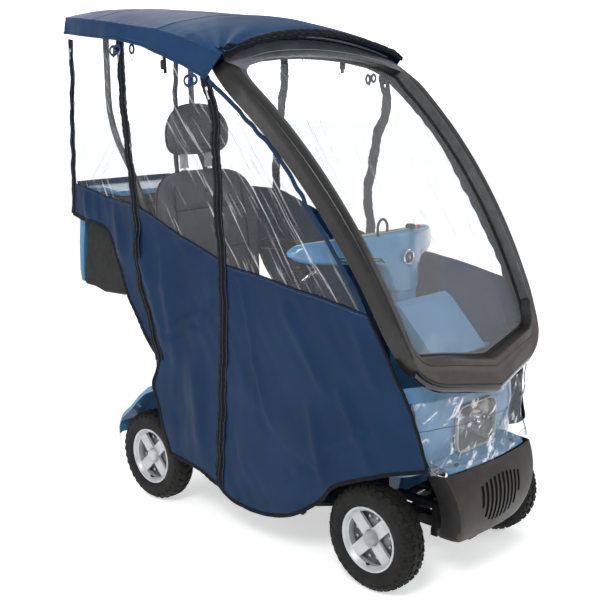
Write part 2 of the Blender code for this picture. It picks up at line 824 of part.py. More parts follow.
def windscreen_frame(look):
    """Ring of moulded section: sill with a central keel, two bowed pillars and an arched header."""
    rings = []
    for outer, inner, to_cabin in screen_stations()[1]:
        out, back = frame_directions(outer, inner, to_cabin)
        rings.append(
            [
                outer - out * 0.004,
                outer + out * 0.001 + back * 0.004,
                outer + out * FRAME_FLARE + back * (FRAME_DEPTH - 0.006),
                outer + out * (FRAME_FLARE - 0.006) + back * FRAME_DEPTH,
                inner + out * 0.0145 + back * FRAME_DEPTH,
                inner + out * 0.0145 + back * SEAL_START,
                inner + back * SEAL_START,
                inner + back * 0.004,
                inner + out * 0.004,
            ]
        )
    return loft("windscreen_frame", rings, look, closed=True)


def windscreen_seal(look):
    """Rubber strip in the rebate of the frame, which holds the pane."""
    rings = []
    for outer, inner, to_cabin in screen_stations()[1]:
        out, back = frame_directions(outer, inner, to_cabin)
        start = inner + back * (SEAL_START + 0.0015)
        end = inner + back * (FRAME_DEPTH - 0.001)
        rings.append([start + out * 0.0085, start, end, end + out * 0.0085])
    return loft("windscreen_seal", rings, look, closed=True)


def windscreen_glass(look):
    """Curved pane held inside the seal."""
    half = screen_stations()[0]
    line = []
    for outer, inner, to_cabin in half:
        out, back = frame_directions(outer, inner, to_cabin)
        line.append(inner - out * (0.0035 if inner[2] < 1.50 else 0.006) + back * 0.042)
    line = np.array(line)
    corner, shoulder = 4, len(line) - 5
    mirror = np.array([-1.0, 1.0, 1.0])
    bottom = np.concatenate([line[: corner + 1][::-1], line[1 : corner + 1] * mirror])
    top = np.concatenate([line[shoulder:], (line[shoulder:-1] * mirror)[::-1]])
    start = line[corner : shoulder + 1]
    grid = patch(bottom, top, start, start * mirror, 13, 9)
    return shell("windscreen_glass", grid, GLASS_THICKNESS, look)


def roof_grid(rows=13):
    """Rows along the roof from its front hem to its rear hem, columns from side to side."""
    grid = []
    places = np.concatenate([[ROOF_FRONT_Y], np.linspace(-0.10, 0.86, rows - 4), [0.91, 0.93]])
    for y in places:
        wide = roof_half_width(min(y, 0.931))
        edge = roof_edge_z(y)
        crown = roof_crown_z(y)
        hem = roof_hem_z(y)
        power = float(np.interp(y, (-0.17, 0.10, 0.50), (2.0, 2.1, 2.6)))
        row = []
        for u in (-1.0, -1.0, -0.97, -0.86, -0.62, -0.31, 0.0):
            z = edge + (crown - edge) * (1 - abs(u) ** power)
            row.append([u * wide, y, z])
        row[0][2] = hem
        row[0][0] *= 1.002
        other = [[-x, y, z] for x, y, z in reversed(row[:-1])]
        grid.append(row + other)
    grid.append([[x, 0.948, 1.711] for x, _, _ in grid[-1]])
    return np.array(grid)


def roof_hem_z(y):
    places = (-0.103, -0.007, 0.11, 0.251, 0.412, 0.928)
    return float(np.interp(y, places, (1.532, 1.569, 1.606, 1.644, 1.669, 1.711)))


def roof_canopy(look):
    """Stretched fabric roof with a hanging valance at the sides and the rear."""
    grid = roof_grid()
    return shell("roof_canopy", grid, FABRIC, look, crease=60.0)


def roof_hoop(look):
    """Tube that carries the fabric: from the header, round the rear and back."""
    half = [
        (0.396, -0.070, 1.608),
        (0.400, 0.00, 1.632),
        (0.396, 0.15, 1.668),
        (0.372, 0.40, 1.702),
        (0.320, 0.62, 1.724),
        (0.262, 0.80, 1.740),
        (0.215, 0.885, 1.748),
        (0.110, 0.905, 1.756),
        (0.0, 0.908, 1.758),
    ]
    path = smooth_path(half + [(-x, y, z) for x, y, z in reversed(half[:-1])], 2)
    hoop = tube("roof_hoop", path, 0.010, look, 8)
    bow = [(x, 0.745, 1.768 - 0.42 * x * x) for x in (-0.279, -0.15, 0.0, 0.15, 0.279)]
    return join(hoop, [tube("t", bow, 0.008, look, 8)], crease=50.0)


def canopy_post(name, side, look):
    """Rear upright of the canopy, bowed forward round the luggage box."""
    path = [
        (0.204, 0.745, 1.718),
        (0.204, 0.745, 1.55),
        (0.203, 0.742, 1.42),
        (0.190, 0.712, 1.30),
        (0.182, 0.650, 1.20),
        (0.176, 0.600, 1.10),
        (0.170, 0.568, 0.98),
        (0.170, 0.562, 0.86),
        (0.170, 0.536, 0.70),
        (0.170, MAST_Y, 0.58),
        (0.170, MAST_Y, 0.4705),
    ]
    path = smooth_path(path, 2)
    return tube(name, [(side * x, y, z) for x, y, z in path], 0.012, look, 8)


# ---------------------------------------------------------------- curtains


def curtain_outline(tuck):
    """The edge of a side curtain in the (y, z) plane: hem, rear edge, top and front edge."""
    hem = [
        (-0.871 + tuck, 0.422),
        (-0.762, 0.394),
        (-0.638, 0.345),
        (-0.555, 0.305),
        (-0.496, 0.240),
        (-0.374, 0.161),
        (-0.232, 0.125),
        (-0.099, 0.132),
        (-0.003, 0.175),
        (0.098, 0.203),
        (0.237, 0.217),
    ]
    rear = [
        (0.293, 0.386),
        (0.318, 0.456),
        (0.290, 0.557),
        (0.377, 0.665),
        (0.467, 0.765),
        (0.523, 0.869),
        (0.570, 0.941),
        (0.627, 0.983),
        (0.722, 1.003),
        (0.828, 1.007),
        (0.945, 1.018),
        (0.938, 1.155),
        (0.932, 1.300),
        (0.918, 1.520),
    ]
    top = [(0.912, 1.690), (0.650, 1.688), (0.412, 1.675), (0.251, 1.650), (0.110, 1.612), (-0.060, 1.556)]
    front = [
        (-0.100, 1.540),
        (-0.240, 1.440),
        (-0.380, 1.315),
        (-0.480, 1.188),
        (-0.575, 1.060),
        (-0.655, 0.945),
        (-0.700, 0.860),
        (-0.735, 0.790),
        (-0.785 + tuck * 0.3, 0.690),
        (-0.823 + tuck * 0.7, 0.610),
        (-0.852 + tuck, 0.505),
    ]
    return hem + rear + top + front


def curtain_half_width(y, z):
    """The curtain hangs inside the valance of the roof."""
    wide = cabin_half_width(y, z)
    return min(wide, roof_half_width(y) - 0.008) if z > 1.50 else wide


def side_curtain(name, side, look):
    """Fabric and film side of the cabin, from the windscreen pillar to the rear corner."""
    grid = []
    for z in np.linspace(0.07, 1.75, 13):
        grid.append([(side * curtain_half_width(y, z), y, z) for y in np.linspace(-0.95, 1.0, 14)])
    sheet = shell(name, grid, FABRIC, look, crease=60.0)
    low, high = sorted((side * 0.15, side * 0.50))
    outline = prism("t", curtain_outline(0.0 if side < 0 else 0.075), "yz", low, high, look)
    return carve(sheet, [outline], "INTERSECT", 60.0)


def rear_curtain(look):
    """Fabric and film across the back of the cabin, over the luggage box."""
    grid = []
    for z in np.linspace(1.016, 1.696, 10):
        y = float(np.interp(z, (1.016, 1.155, 1.30, 1.52, 1.70), (0.953, 0.947, 0.944, 0.932, 0.924)))
        half = 0.232
        row = []
        for u in np.linspace(-1.0, 1.0, 9):
            row.append((half * u, y - 0.010 * u**4, z))
        grid.append(row)
    return shell("rear_curtain", grid, FABRIC, look, crease=60.0)


def front_film(look):
    """Clear cover stretched from under the windscreen sill down to the bumper."""
    grid = []
    for z in (0.405, 0.44, 0.49, 0.54, 0.585, 0.612):
        t = (z - 0.405) / 0.207
        edge = 0.255 + 0.050 * t
        row = []
        for u in np.linspace(-1.0, 1.0, 11):
            x = edge * u
            row.append((x, -0.878 + 0.055 * u**2 + 0.012 * abs(u) ** 4 - 0.006 * math.sin(math.pi * t), z))
        grid.append(row)
    return shell("front_film", grid, 0.002, look, crease=60.0)


# ---------------------------------------------------------------- steering column and tiller


def steering_column(look):
    """Inclined shaft from the axle beam up to the tilting joint."""
    foot = np.array([0.0, -0.670, 0.2165])
    head = np.array([0.0, -0.5560, 0.5700])
    along = (head - foot) / np.linalg.norm(head - foot)
    path = [foot, head]
    shaft = tube("steering_column", path, 0.012, look, 14, pivot=tuple(foot))
    parts = []
    for side in (-1, 1):
        x0, x1 = sorted((side * 0.020, side * 0.027))
        ear = [(-0.570, 0.562), (-0.536, 0.562), (-0.536, 0.606)]
        ear += [(-0.545, 0.618), (-0.561, 0.618), (-0.570, 0.606)]
        parts.append(prism("t", ear, "yz", x0, x1, look))
    parts.append(block("t", (-0.027, -0.570, 0.560), (0.027, -0.536, 0.572), look))
    parts.append(block("t", (-0.010, -0.672, 0.2160), (0.010, -0.606, 0.2230), look))
    return join(shaft, parts)


def tiller_cowl(look):
    """Moulded steering head: a slim neck that spreads into two swept wings, with a bag hook."""
    half = [
        (0.000, 0.860, 1.058),
        (0.030, 0.860, 1.057),
        (0.052, 0.866, 1.056),
        (0.062, 0.884, 1.056),
        (0.069, 0.915, 1.055),
        (0.080, 0.940, 1.054),
        (0.105, 0.957, 1.053),
        (0.160, 0.964, 1.048),
        (0.240, 0.968, 1.041),
        (0.300, 0.974, 1.034),
        (0.326, 0.984, 1.026),
        (0.337, 0.996, 1.014),
    ]
    rings = []
    for x, low, high in [(-x, a, b) for x, a, b in reversed(half[1:])] + half:
        tip = min(1.0, abs(x) / 0.338)
        middle = -0.516 + 0.154 * tip**1.6
        ring = rounded(0.060 - 0.022 * tip**4, high - low, 0.009, 2, (middle, (low + high) / 2))
        rings.append([(x, y + 0.10 * (z - 1.0), z) for y, z in ring])
    head = loft("tiller_cowl", rings, look, pivot=TILLER_PIVOT)
    neck_path = [(0.0, -0.553, 0.640), (0.0, -0.542, 0.760), (0.0, -0.527, 0.890)]
    neck = []
    for (x, y, z), half in zip(neck_path, (0.030, 0.040, 0.052)):
        ring = [(x + a, y + b, z) for a, b in rounded(2 * half, 0.050, 0.014, 2)]
        neck.append(ring)
    stem = loft("t", neck, look)
    root = block("t", (-0.0192, -0.566, 0.580), (0.0192, -0.540, 0.650), look)
    loop = [
        (-0.102, -0.512, 1.046),
        (-0.103, -0.512, 1.078),
        (-0.094, -0.512, 1.095),
        (-0.080, -0.512, 1.101),
        (-0.066, -0.512, 1.095),
        (-0.057, -0.512, 1.078),
        (-0.058, -0.512, 1.046),
    ]
    hook = tube("t", smooth_path(loop, 2), 0.004, look, 8)
    return join(head, [stem, root, hook])


def handlebar(look):
    """Bar behind the wings, bent back to the hand grips."""
    path = [
        (-0.286, -0.318, 0.932),
        (-0.277, -0.352, 0.955),
        (-0.254, -0.376, 0.965),
        (-0.200, -0.392, 0.972),
        (-0.100, -0.412, 0.976),
        (0.0, -0.420, 0.976),
        (0.100, -0.412, 0.976),
        (0.200, -0.392, 0.972),
        (0.254, -0.376, 0.965),
        (0.277, -0.352, 0.955),
        (0.286, -0.318, 0.932),
    ]
    bar = tube("handlebar", smooth_path(path, 2), 0.0105, look, 8, pivot=TILLER_PIVOT)
    stem = block("t", (-0.020, -0.4835, 0.960), (0.020, -0.415, 0.990), look)
    return join(bar, [stem])


def grip(name, side, look):
    path = [(side * 0.2864, -0.3162, 0.9310), (side * 0.291, -0.285, 0.915), (side * 0.294, -0.248, 0.894)]
    return tube(name, smooth_path(path, 3), 0.0155, look, 12, pivot=TILLER_PIVOT)


def brake_lever(look):
    """Hand lever under the right grip, hinged beside the handlebar."""
    path = [
        (-0.262, -0.395, 0.945),
        (-0.280, -0.383, 0.933),
        (-0.291, -0.348, 0.903),
        (-0.298, -0.300, 0.876),
        (-0.302, -0.262, 0.860),
    ]
    return tube("brake_lever", smooth_path(path, 3), 0.0055, look, 8, pivot=(-0.262, -0.395, 0.945))


def throttle_lever(look):
    """Thumb paddle that rocks about the handlebar on the left."""
    path = [(0.252, -0.405, 0.938), (0.268, -0.378, 0.925), (0.272, -0.345, 0.912)]
    return tube("throttle_lever", smooth_path(path, 3), 0.006, look, 8, pivot=(0.252, -0.405, 0.938))


def tiller_controls(dark, metal, accent):
    """The pieces that the driver's hands work on the top and front of the steering head."""
    knob = ((0.0, 0.0), (0.0, 0.016), (0.008, 0.0165), (0.014, 0.013), (0.015, 0.0))
    lathe("speed_dial", knob, dark, (0.060, -0.512, 1.0580), "z", 20, closed=False)
    button = ((0.0, 0.0), (0.0, 0.008), (0.005, 0.008), (0.007, 0.005), (0.007, 0.0))
    lathe("horn_button", button, accent, (0.125, -0.494, 1.0545), "z", 16, closed=False)
    ring = ((0.0, 0.0), (0.0, 0.026), (-0.003, 0.026), (-0.005, 0.022), (-0.005, 0.0))
    lathe("ignition_lock", ring, metal, (0.0, -0.5518, 0.975), "y", 28, closed=False)


def tilt_lever(look):
    path = [(-0.0285, -0.553, 0.600), (-0.046, -0.553, 0.602)]
    path += [(-0.056, -0.540, 0.610), (-0.058, -0.505, 0.624)]
    return tube("tilt_lever", smooth_path(path, 2), 0.0050, look, 8, pivot=(-0.0285, -0.553, 0.600))


# ---------------------------------------------------------------- seat


def seat_mount(steel, dark):
    """Post, swivel plate and the pan that slides on it, with their levers."""
    post = ((0.4204, 0.0), (0.4204, 0.030), (0.5700, 0.030), (0.5700, 0.0))
    lathe("seat_post", post, steel, (0.0, SEAT_AXIS_Y, 0.0), "z", 20, closed=False)
    plate = prism(
        "swivel_plate",
        rounded(0.230, 0.230, 0.020, 2, (0.0, SEAT_AXIS_Y)),
        "xy",
        0.5704,
        0.5900,
        steel,
        0.002,
        pivot=(0.0, SEAT_AXIS_Y, 0.58),
    )
    pan = block("seat_pan", (-0.200, 0.030, 0.5904), (0.200, 0.384, 0.6060), steel, 0.002)
    ears = []
    for side in (-1, 1):
        x0, x1 = sorted((side * 0.188, side * 0.196))
        ear = [(0.352, 0.600), (0.382, 0.600), (0.386, 0.672), (0.372, 0.680), (0.358, 0.672)]
        ears.append(prism("t", ear, "yz", x0, x1, steel))
    join(pan, ears)
    for name, side, y, z in (("swivel_lever", -1, 0.150, 0.578), ("slide_lever", 1, 0.085, 0.5980)):
        start, bend = (0.1165, -0.012) if name == "swivel_lever" else (0.2020, 0.002)
        path = [
            (side * start, y, z),
            (side * 0.235, y - 0.004, z + bend),
            (side * 0.262, y - 0.030, z + bend + 0.008),
        ]
        tube(name, smooth_path(path, 3), 0.0055, dark, 8, pivot=(side * start, y, z))


def cushion_solid(name, outline, plane, levels, look, pivot=(0.0, 0.0, 0.0), shear=0.0):
    """A padded block: each level is (depth, inset of the outline)."""
    rings = []
    for depth, shrink in levels:
        rings.append(placed(inset(outline, shrink), plane, depth))
    return loft(name, rings, look, pivot=pivot, crease=60.0)


def seat_cushion(look):
    outline = rounded(0.450, 0.402, 0.060, 3, (0.0, 0.143))
    levels = ((0.6068, 0.020), (0.618, 0.004), (0.650, 0.0), (0.678, 0.004))
    levels += ((0.690, 0.020), (SEAT_TOP_Z, 0.060))
    return cushion_solid("seat_cushion", outline, "xy", levels, look)


def lean(z):
    """How far the backrest has moved back at a height."""
    return 0.372 + 0.155 * (z - 0.66)


def padded_stack(name, levels, middle, bolster, look, pivot):
    """Padding built up in level slices: each is (height, half width, depth)."""
    rings = []
    for z, wide, deep in levels:
        ring = []
        for u in (-0.97, -0.72, -0.35, 0.0, 0.35, 0.72, 0.97):
            ring.append((u * wide, middle(z) - deep / 2 - bolster * u**2, z))
        ring.append((wide, middle(z) - 0.1 * deep - bolster * 0.8, z))
        for u in (0.94, 0.55, 0.0, -0.55, -0.94):
            ring.append((u * wide, middle(z) + deep / 2 - bolster * 0.8 * u**2, z))
        ring.append((-wide, middle(z) - 0.1 * deep - bolster * 0.8, z))
        rings.append(ring)
    return loft(name, rings, look, pivot=pivot, crease=60.0)


def backrest(look):
    """Bucket backrest with raised sides, narrower at the shoulders."""
    levels = [
        (0.685, 0.160, 0.040),
        (0.697, 0.200, 0.074),
        (0.760, 0.218, 0.090),
        (0.860, 0.228, 0.094),
        (0.980, 0.240, 0.096),
        (1.060, 0.242, 0.094),
        (1.130, 0.224, 0.088),
        (1.168, 0.196, 0.076),
        (1.188, 0.160, 0.056),
        (1.196, 0.115, 0.030),
    ]
    back = padded_stack("backrest", levels, lambda z: lean(z) + 0.020, 0.034, look, RECLINE_PIVOT)
    lugs = []
    for side in (-1, 1):
        x0, x1 = sorted((side * 0.168, side * 0.1870))
        lug = [(0.360, 0.648), (0.384, 0.648), (0.400, 0.700)]
        lug += [(0.405, 0.745), (0.380, 0.745), (0.366, 0.700)]
        lugs.append(prism("t", lug, "yz", x0, x1, look))
    return join(back, lugs, crease=60.0)


def headrest(look, pivot):
    """Domed head pad on two stalks that slide in the backrest."""
    levels = [
        (1.262, 0.100, 0.040),
        (1.274, 0.134, 0.072),
        (1.300, 0.145, 0.084),
        (1.340, 0.148, 0.088),
        (1.380, 0.137, 0.084),
        (1.415, 0.110, 0.072),
        (1.438, 0.070, 0.050),
        (1.445, 0.035, 0.026),
    ]
    pad = padded_stack("headrest", levels, lambda z: 0.488, 0.020, look, pivot)
    stalks = []
    for side in (-1, 1):
        x = side * 0.060
        stalks.append(tube("t", [(x, 0.4770, 1.1990), (x, 0.4870, 1.290)], 0.006, look, 8))
    return join(pad, stalks, crease=60.0)


def armrest(name, side, pad_look):
    """Padded arm that folds up about a pin at the side of the backrest."""
    pivot = (side * 0.262, 0.392, ARM_PIVOT_Z)
    outline = [
        (0.070, 0.888),
        (0.082, 0.878),
        (0.330, 0.876),
        (0.402, 0.868),
        (0.412, 0.890),
        (0.402, 0.914),
        (0.330, 0.918),
        (0.090, 0.920),
        (0.072, 0.912),
    ]
    x0, x1 = sorted((side * 0.246, side * 0.292))
    rings = []
    for x, shrink in ((x0, 0.008), (x0 + 0.006, 0.0), (x1 - 0.006, 0.0), (x1, 0.008)):
        rings.append(placed(inset(outline, shrink), "yz", x))
    return loft(name, rings, pad_look, pivot=pivot)


# ---------------------------------------------------------------- luggage box


def box_body(look):
    """Open tub of the luggage box, with a slanted rim that meets the lid."""
    side_view = [
        (0.606, 0.735),
        (0.650, 0.722),
        (0.780, 0.717),
        (0.845, 0.731),
        (0.905, 0.733),
        (0.915, 0.745),
        (0.842, 1.090),
        (0.835, 1.100),
        (0.640, 1.100),
        (0.606, 1.080),
    ]
    tub = prism("rear_box_body", side_view, "yz", -BOX_HALF_WIDTH, BOX_HALF_WIDTH, look, 0.006)
    inner = [
        (0.612, 0.745),
        (0.655, 0.728),
        (0.778, 0.723),
        (0.840, 0.737),
        (0.960, 0.739),
        (0.960, 1.200),
        (0.700, 1.200),
        (0.645, 1.094),
        (0.612, 1.076),
    ]
    hollow = prism("t", inner, "yz", -BOX_HALF_WIDTH + 0.006, BOX_HALF_WIDTH - 0.006, look)
    carve(tub, [hollow])
    panels = []
    for side in (-1, 1):
        x0, x1 = sorted((side * (BOX_HALF_WIDTH - 0.002), side * (BOX_HALF_WIDTH + 0.005)))
        raised = [(0.640, 0.760), (0.830, 0.765), (0.850, 0.790)]
        raised += [(0.790, 1.050), (0.770, 1.070), (0.640, 1.070)]
        panels.append(prism("t", raised, "yz", x0, x1, look, 0.002))
    return join(tub, panels)


def box_lid(look):
    """Curved lid that forms the top and the back of the luggage box."""
    outer = [
        (0.640, 1.106),
        (0.660, 1.122),
        (0.760, 1.134),
        (0.850, 1.132),
        (0.895, 1.112),
        (0.918, 1.060),
        (0.938, 0.900),
        (0.944, 0.790),
        (0.936, 0.742),
    ]
    inner = [
        (0.9195, 0.742),
        (0.9215, 0.790),
        (0.9120, 0.900),
        (0.8840, 1.045),
        (0.8660, 1.088),
        (0.8300, 1.108),
        (0.760, 1.112),
        (0.668, 1.1045),
    ]
    outline = outer[::-1] + inner[::-1]
    rings = []
    half = BOX_HALF_WIDTH
    for x, shrink in ((-half, 0.005), (-half + 0.006, 0.0), (half - 0.006, 0.0), (half, 0.005)):
        rings.append(placed(inset(outline, shrink), "yz", x))
    return loft("rear_box_lid", rings, look, pivot=LID_PIVOT)


def tail_light(name, side, look):
    outline = rounded(0.050, 0.052, 0.012, 1, (side * 0.196, 0.252))
    return prism(name, outline, "xz", 0.5564, 0.5720, look, 0.004)


def freewheel_lever(look):
    """Lever on the motor that frees the wheels for pushing."""
    path = [(0.0575, 0.4500, 0.3000), (0.0575, 0.4680, 0.3450), (0.0575, 0.4980, 0.3820)]
    return tube("freewheel_lever", smooth_path(path, 3), 0.0055, look, 8, pivot=path[0])


# ---------------------------------------------------------------- assembly


def build():
    for obj in list(bpy.data.objects):
        bpy.data.objects.remove(obj, do_unlink=True)

    black_steel = material("black_steel", (0.020, 0.020, 0.022), 0.45, 0.6)
    bare_steel = material("bare_steel", (0.42, 0.42, 0.43), 0.35, 1.0)
    grey_tube = material("grey_tube", (0.16, 0.16, 0.17), 0.42, 0.5)
    black_plastic = material("black_plastic", (0.022, 0.021, 0.020), 0.55)
    frame_paint = material("frame_paint", (0.050, 0.044, 0.040), 0.42)
    body_blue = material("body_blue", (0.160, 0.340, 0.550), 0.22)
    navy_fabric = material("navy_fabric", (0.020, 0.052, 0.145), 0.80)
    glass = material("clear_glass", (0.90, 0.94, 0.94), 0.05, 0.0, 0.12)
    film = material("clear_film", (0.85, 0.90, 0.93), 0.10, 0.0, 0.25)
    lamp = material("lamp_reflector", (0.60, 0.60, 0.62), 0.18, 0.9)
    lens = material("lamp_lens", (0.80, 0.82, 0.84), 0.08, 0.0, 0.35)
    red_lens = material("red_lens", (0.45, 0.015, 0.015), 0.15)
    rubber = material("rubber", (0.022, 0.022, 0.022), 0.85)
    silver = material("silver_alloy", (0.62, 0.63, 0.65), 0.30, 0.9)
    grey_leather = material("grey_leather", (0.115, 0.118, 0.125), 0.55)
    soft_black = material("soft_black", (0.030, 0.030, 0.032), 0.62)
    red_plastic = material("red_plastic", (0.45, 0.03, 0.02), 0.35)

    chassis_frame(black_steel)
    floor_pan(black_plastic)
    rear_body_cover(body_blue)
    battery("battery_right", -1, black_plastic)
    battery("battery_left", 1, black_plastic)
    transaxle(bare_steel)
    front_axle_beam(black_steel)
    for side, word in SIDES:
        knuckle(f"knuckle_{word}", side, bare_steel)
        tail_light(f"tail_light_{word}", side, red_lens)
        canopy_post(f"canopy_post_{word}", side, grey_tube)
        side_curtain(f"side_curtain_{word}", side, navy_fabric)
        grip(f"grip_{word}", side, soft_black)
        armrest(f"armrest_{word}", side, soft_black)
    tie_rod(bare_steel)
    wheels(rubber, silver)

    front_shroud(body_blue)
    headlight_housing(lamp)
    headlight_lens(lens)
    front_bumper(black_plastic)
    leg_shield(body_blue)

    windscreen_frame(frame_paint)
    windscreen_seal(rubber)
    windscreen_glass(glass)
    roof_canopy(navy_fabric)
    roof_hoop(grey_tube)
    rear_curtain(navy_fabric)
    front_film(film)

    steering_column(black_steel)
    tiller_cowl(body_blue)
    handlebar(black_steel)
    brake_lever(silver)
    throttle_lever(soft_black)
    tiller_controls(soft_black, silver, red_plastic)
    tilt_lever(black_steel)

    seat_mount(black_steel, soft_black)
    seat_cushion(grey_leather)
    backrest(grey_leather)
    headrest(grey_leather, (0.0, 0.4770, 1.1990))

    freewheel_lever(red_plastic)
    box_body(black_plastic)
    box_lid(body_blue)


build()
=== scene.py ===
import json
import math

import bpy
import numpy as np
from mathutils import Matrix, Vector
from mathutils.geometry import delaunay_2d_cdt

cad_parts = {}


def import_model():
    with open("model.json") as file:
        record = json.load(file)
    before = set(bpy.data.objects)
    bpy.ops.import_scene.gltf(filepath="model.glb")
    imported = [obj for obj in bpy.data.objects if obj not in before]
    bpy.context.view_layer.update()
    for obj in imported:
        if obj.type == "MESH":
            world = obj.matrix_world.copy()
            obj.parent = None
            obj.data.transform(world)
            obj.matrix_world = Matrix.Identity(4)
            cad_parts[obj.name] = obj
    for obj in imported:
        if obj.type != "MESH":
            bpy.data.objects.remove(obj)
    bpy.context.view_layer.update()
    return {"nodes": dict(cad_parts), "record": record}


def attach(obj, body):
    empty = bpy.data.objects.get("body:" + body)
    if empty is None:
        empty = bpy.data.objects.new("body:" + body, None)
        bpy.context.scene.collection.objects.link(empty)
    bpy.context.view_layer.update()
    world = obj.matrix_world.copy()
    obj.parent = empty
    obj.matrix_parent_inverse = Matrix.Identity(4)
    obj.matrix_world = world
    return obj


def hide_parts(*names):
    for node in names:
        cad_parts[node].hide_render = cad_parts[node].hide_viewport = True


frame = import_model()

# ---------------------------------------------------------------- camera


CAMERA_PLACE = (-2.5578, -2.583, 1.5268)
CAMERA_TURN = (0.79374, 0.20881, -0.0089)
CAMERA_LENS = 62.05
SENSOR_WIDTH = 36.0


def place_camera():
    """A three-quarter view from the front right, a little above the seat."""
    yaw, pitch, roll = CAMERA_TURN
    ahead = Vector((math.sin(yaw) * math.cos(pitch), math.cos(yaw) * math.cos(pitch), -math.sin(pitch)))
    level = ahead.cross(Vector((0, 0, 1))).normalized()
    up = level.cross(ahead)
    right = math.cos(roll) * level + math.sin(roll) * up
    top = -math.sin(roll) * level + math.cos(roll) * up
    turn = Matrix(((right[0], top[0], -ahead[0]), (right[1], top[1], -ahead[1]),
                   (right[2], top[2], -ahead[2])))
    data = bpy.data.cameras.new("camera")
    data.sensor_width = SENSOR_WIDTH
    data.lens = CAMERA_LENS
    camera = bpy.data.objects.new("camera", data)
    bpy.context.scene.collection.objects.link(camera)
    camera.matrix_world = Matrix.Translation(CAMERA_PLACE) @ turn.to_4x4()
    bpy.context.scene.camera = camera


place_camera()

# ---------------------------------------------------------------- dimensions shared with the frame

WHEEL_RADIUS = 0.1673
AXLES = (("front", -0.6845, 0.307), ("rear", 0.372, 0.315))
SIDES = ((-1, "right"), (1, "left"))
SCREEN_ARC = (0.9346, 0.0183, 1.916)
FRAME_DEPTH = 0.062
FRAME_FLARE = 0.012
SEAL_START = 0.03
HEADLIGHT_Z = 0.482
BUMPER_FOOT_Z = 0.158
BUMPER_TOP_Z = 0.385
BUMPER_SLOTS = 10
SLOT_PITCH = 0.0212
FOLD_STRENGTH = 2.6
DEEPEST_FOLD = -0.0035

# ---------------------------------------------------------------- finishes


def put(tree, kind, sockets=(), **settings):
    """A shader node with its sockets and settings filled in."""
    item = tree.nodes.new(kind)
    for key, value in settings.items():
        setattr(item, key, value)
    for key, value in dict(sockets).items():
        item.inputs[key].default_value = value
    return item


def remap(tree, source, low, high, start=0.35, end=0.65):
    """A value stretched between two levels."""
    item = put(tree, "ShaderNodeMapRange", {"From Min": start, "From Max": end, "To Min": low,
                                            "To Max": high})
    tree.links.new(source, item.inputs["Value"])
    return item.outputs["Result"]


def two_tone(tree, factor, dark, light):
    """A colour between dark and light."""
    item = put(tree, "ShaderNodeMix", data_type="RGBA")
    item.inputs["A"].default_value = item.inputs[6].default_value = (*dark, 1.0)
    item.inputs[7].default_value = (*light, 1.0)
    tree.links.new(factor, item.inputs[0])
    return item.outputs[2]


def height_of(tree, where, pattern, fine):
    """The fine relief of a finish: weave, leather grain or moulded grain."""
    if pattern == "weave":
        over = put(tree, "ShaderNodeTexWave", {"Scale": fine, "Distortion": 0.6, "Detail": 1.0},
                   bands_direction="Y")
        under = put(tree, "ShaderNodeTexWave", {"Scale": fine, "Distortion": 0.6, "Detail": 1.0},
                    bands_direction="Z")
        across = put(tree, "ShaderNodeTexWave", {"Scale": fine, "Distortion": 0.6, "Detail": 1.0},
                     bands_direction="X")
        first = put(tree, "ShaderNodeMath", operation="MAXIMUM")
        second = put(tree, "ShaderNodeMath", operation="MAXIMUM")
        for item in (over, under, across):
            tree.links.new(where, item.inputs["Vector"])
        tree.links.new(over.outputs["Fac"], first.inputs[0])
        tree.links.new(under.outputs["Fac"], first.inputs[1])
        tree.links.new(first.outputs[0], second.inputs[0])
        tree.links.new(across.outputs["Fac"], second.inputs[1])
        return second.outputs[0]
    if pattern == "leather":
        cells = put(tree, "ShaderNodeTexVoronoi", {"Scale": fine}, feature="DISTANCE_TO_EDGE")
        tree.links.new(where, cells.inputs["Vector"])
        return remap(tree, cells.outputs["Distance"], 0.0, 1.0, 0.0, 0.35)
    noise = put(tree, "ShaderNodeTexNoise", {"Scale": fine, "Detail": 3.0, "Roughness": 0.6})
    tree.links.new(where, noise.inputs["Vector"])
    return noise.outputs["Fac"]


def finish(name, dark, light, rough, grain=30.0, fine=700.0, bump=0.25, depth=0.0006, spread=0.08,
           pattern="noise", stretch=(1.0, 1.0, 1.0), **sockets):
    """A coloured surface with cloudy colour, uneven roughness and a fine relief."""
    look = bpy.data.materials.new(name)
    look.use_nodes = True
    tree = look.node_tree
    shader = tree.nodes["Principled BSDF"]
    coords = put(tree, "ShaderNodeTexCoord")
    mapping = put(tree, "ShaderNodeMapping", {"Scale": stretch})
    tree.links.new(coords.outputs["Object"], mapping.inputs["Vector"])
    where = mapping.outputs["Vector"]
    cloud = put(tree, "ShaderNodeTexNoise", {"Scale": grain, "Detail": 5.0, "Roughness": 0.62})
    tree.links.new(where, cloud.inputs["Vector"])
    tree.links.new(two_tone(tree, remap(tree, cloud.outputs["Fac"], 0.0, 1.0), dark, light),
                   shader.inputs["Base Color"])
    broad = put(tree, "ShaderNodeTexNoise", {"Scale": grain * 0.35, "Detail": 6.0, "Roughness": 0.7})
    tree.links.new(coords.outputs["Object"], broad.inputs["Vector"])
    tree.links.new(
        remap(tree, broad.outputs["Fac"], max(rough - spread, 0.03), min(rough + spread, 1.0), 0.3, 0.7),
        shader.inputs["Roughness"],
    )
    relief = put(tree, "ShaderNodeBump", {"Strength": bump, "Distance": depth})
    tree.links.new(height_of(tree, where, pattern, fine), relief.inputs["Height"])
    tree.links.new(relief.outputs["Normal"], shader.inputs["Normal"])
    for key, value in {"Specular_IOR_Level": 0.22, **sockets}.items():
        shader.inputs[key.replace("_", " ")].default_value = value
    return look


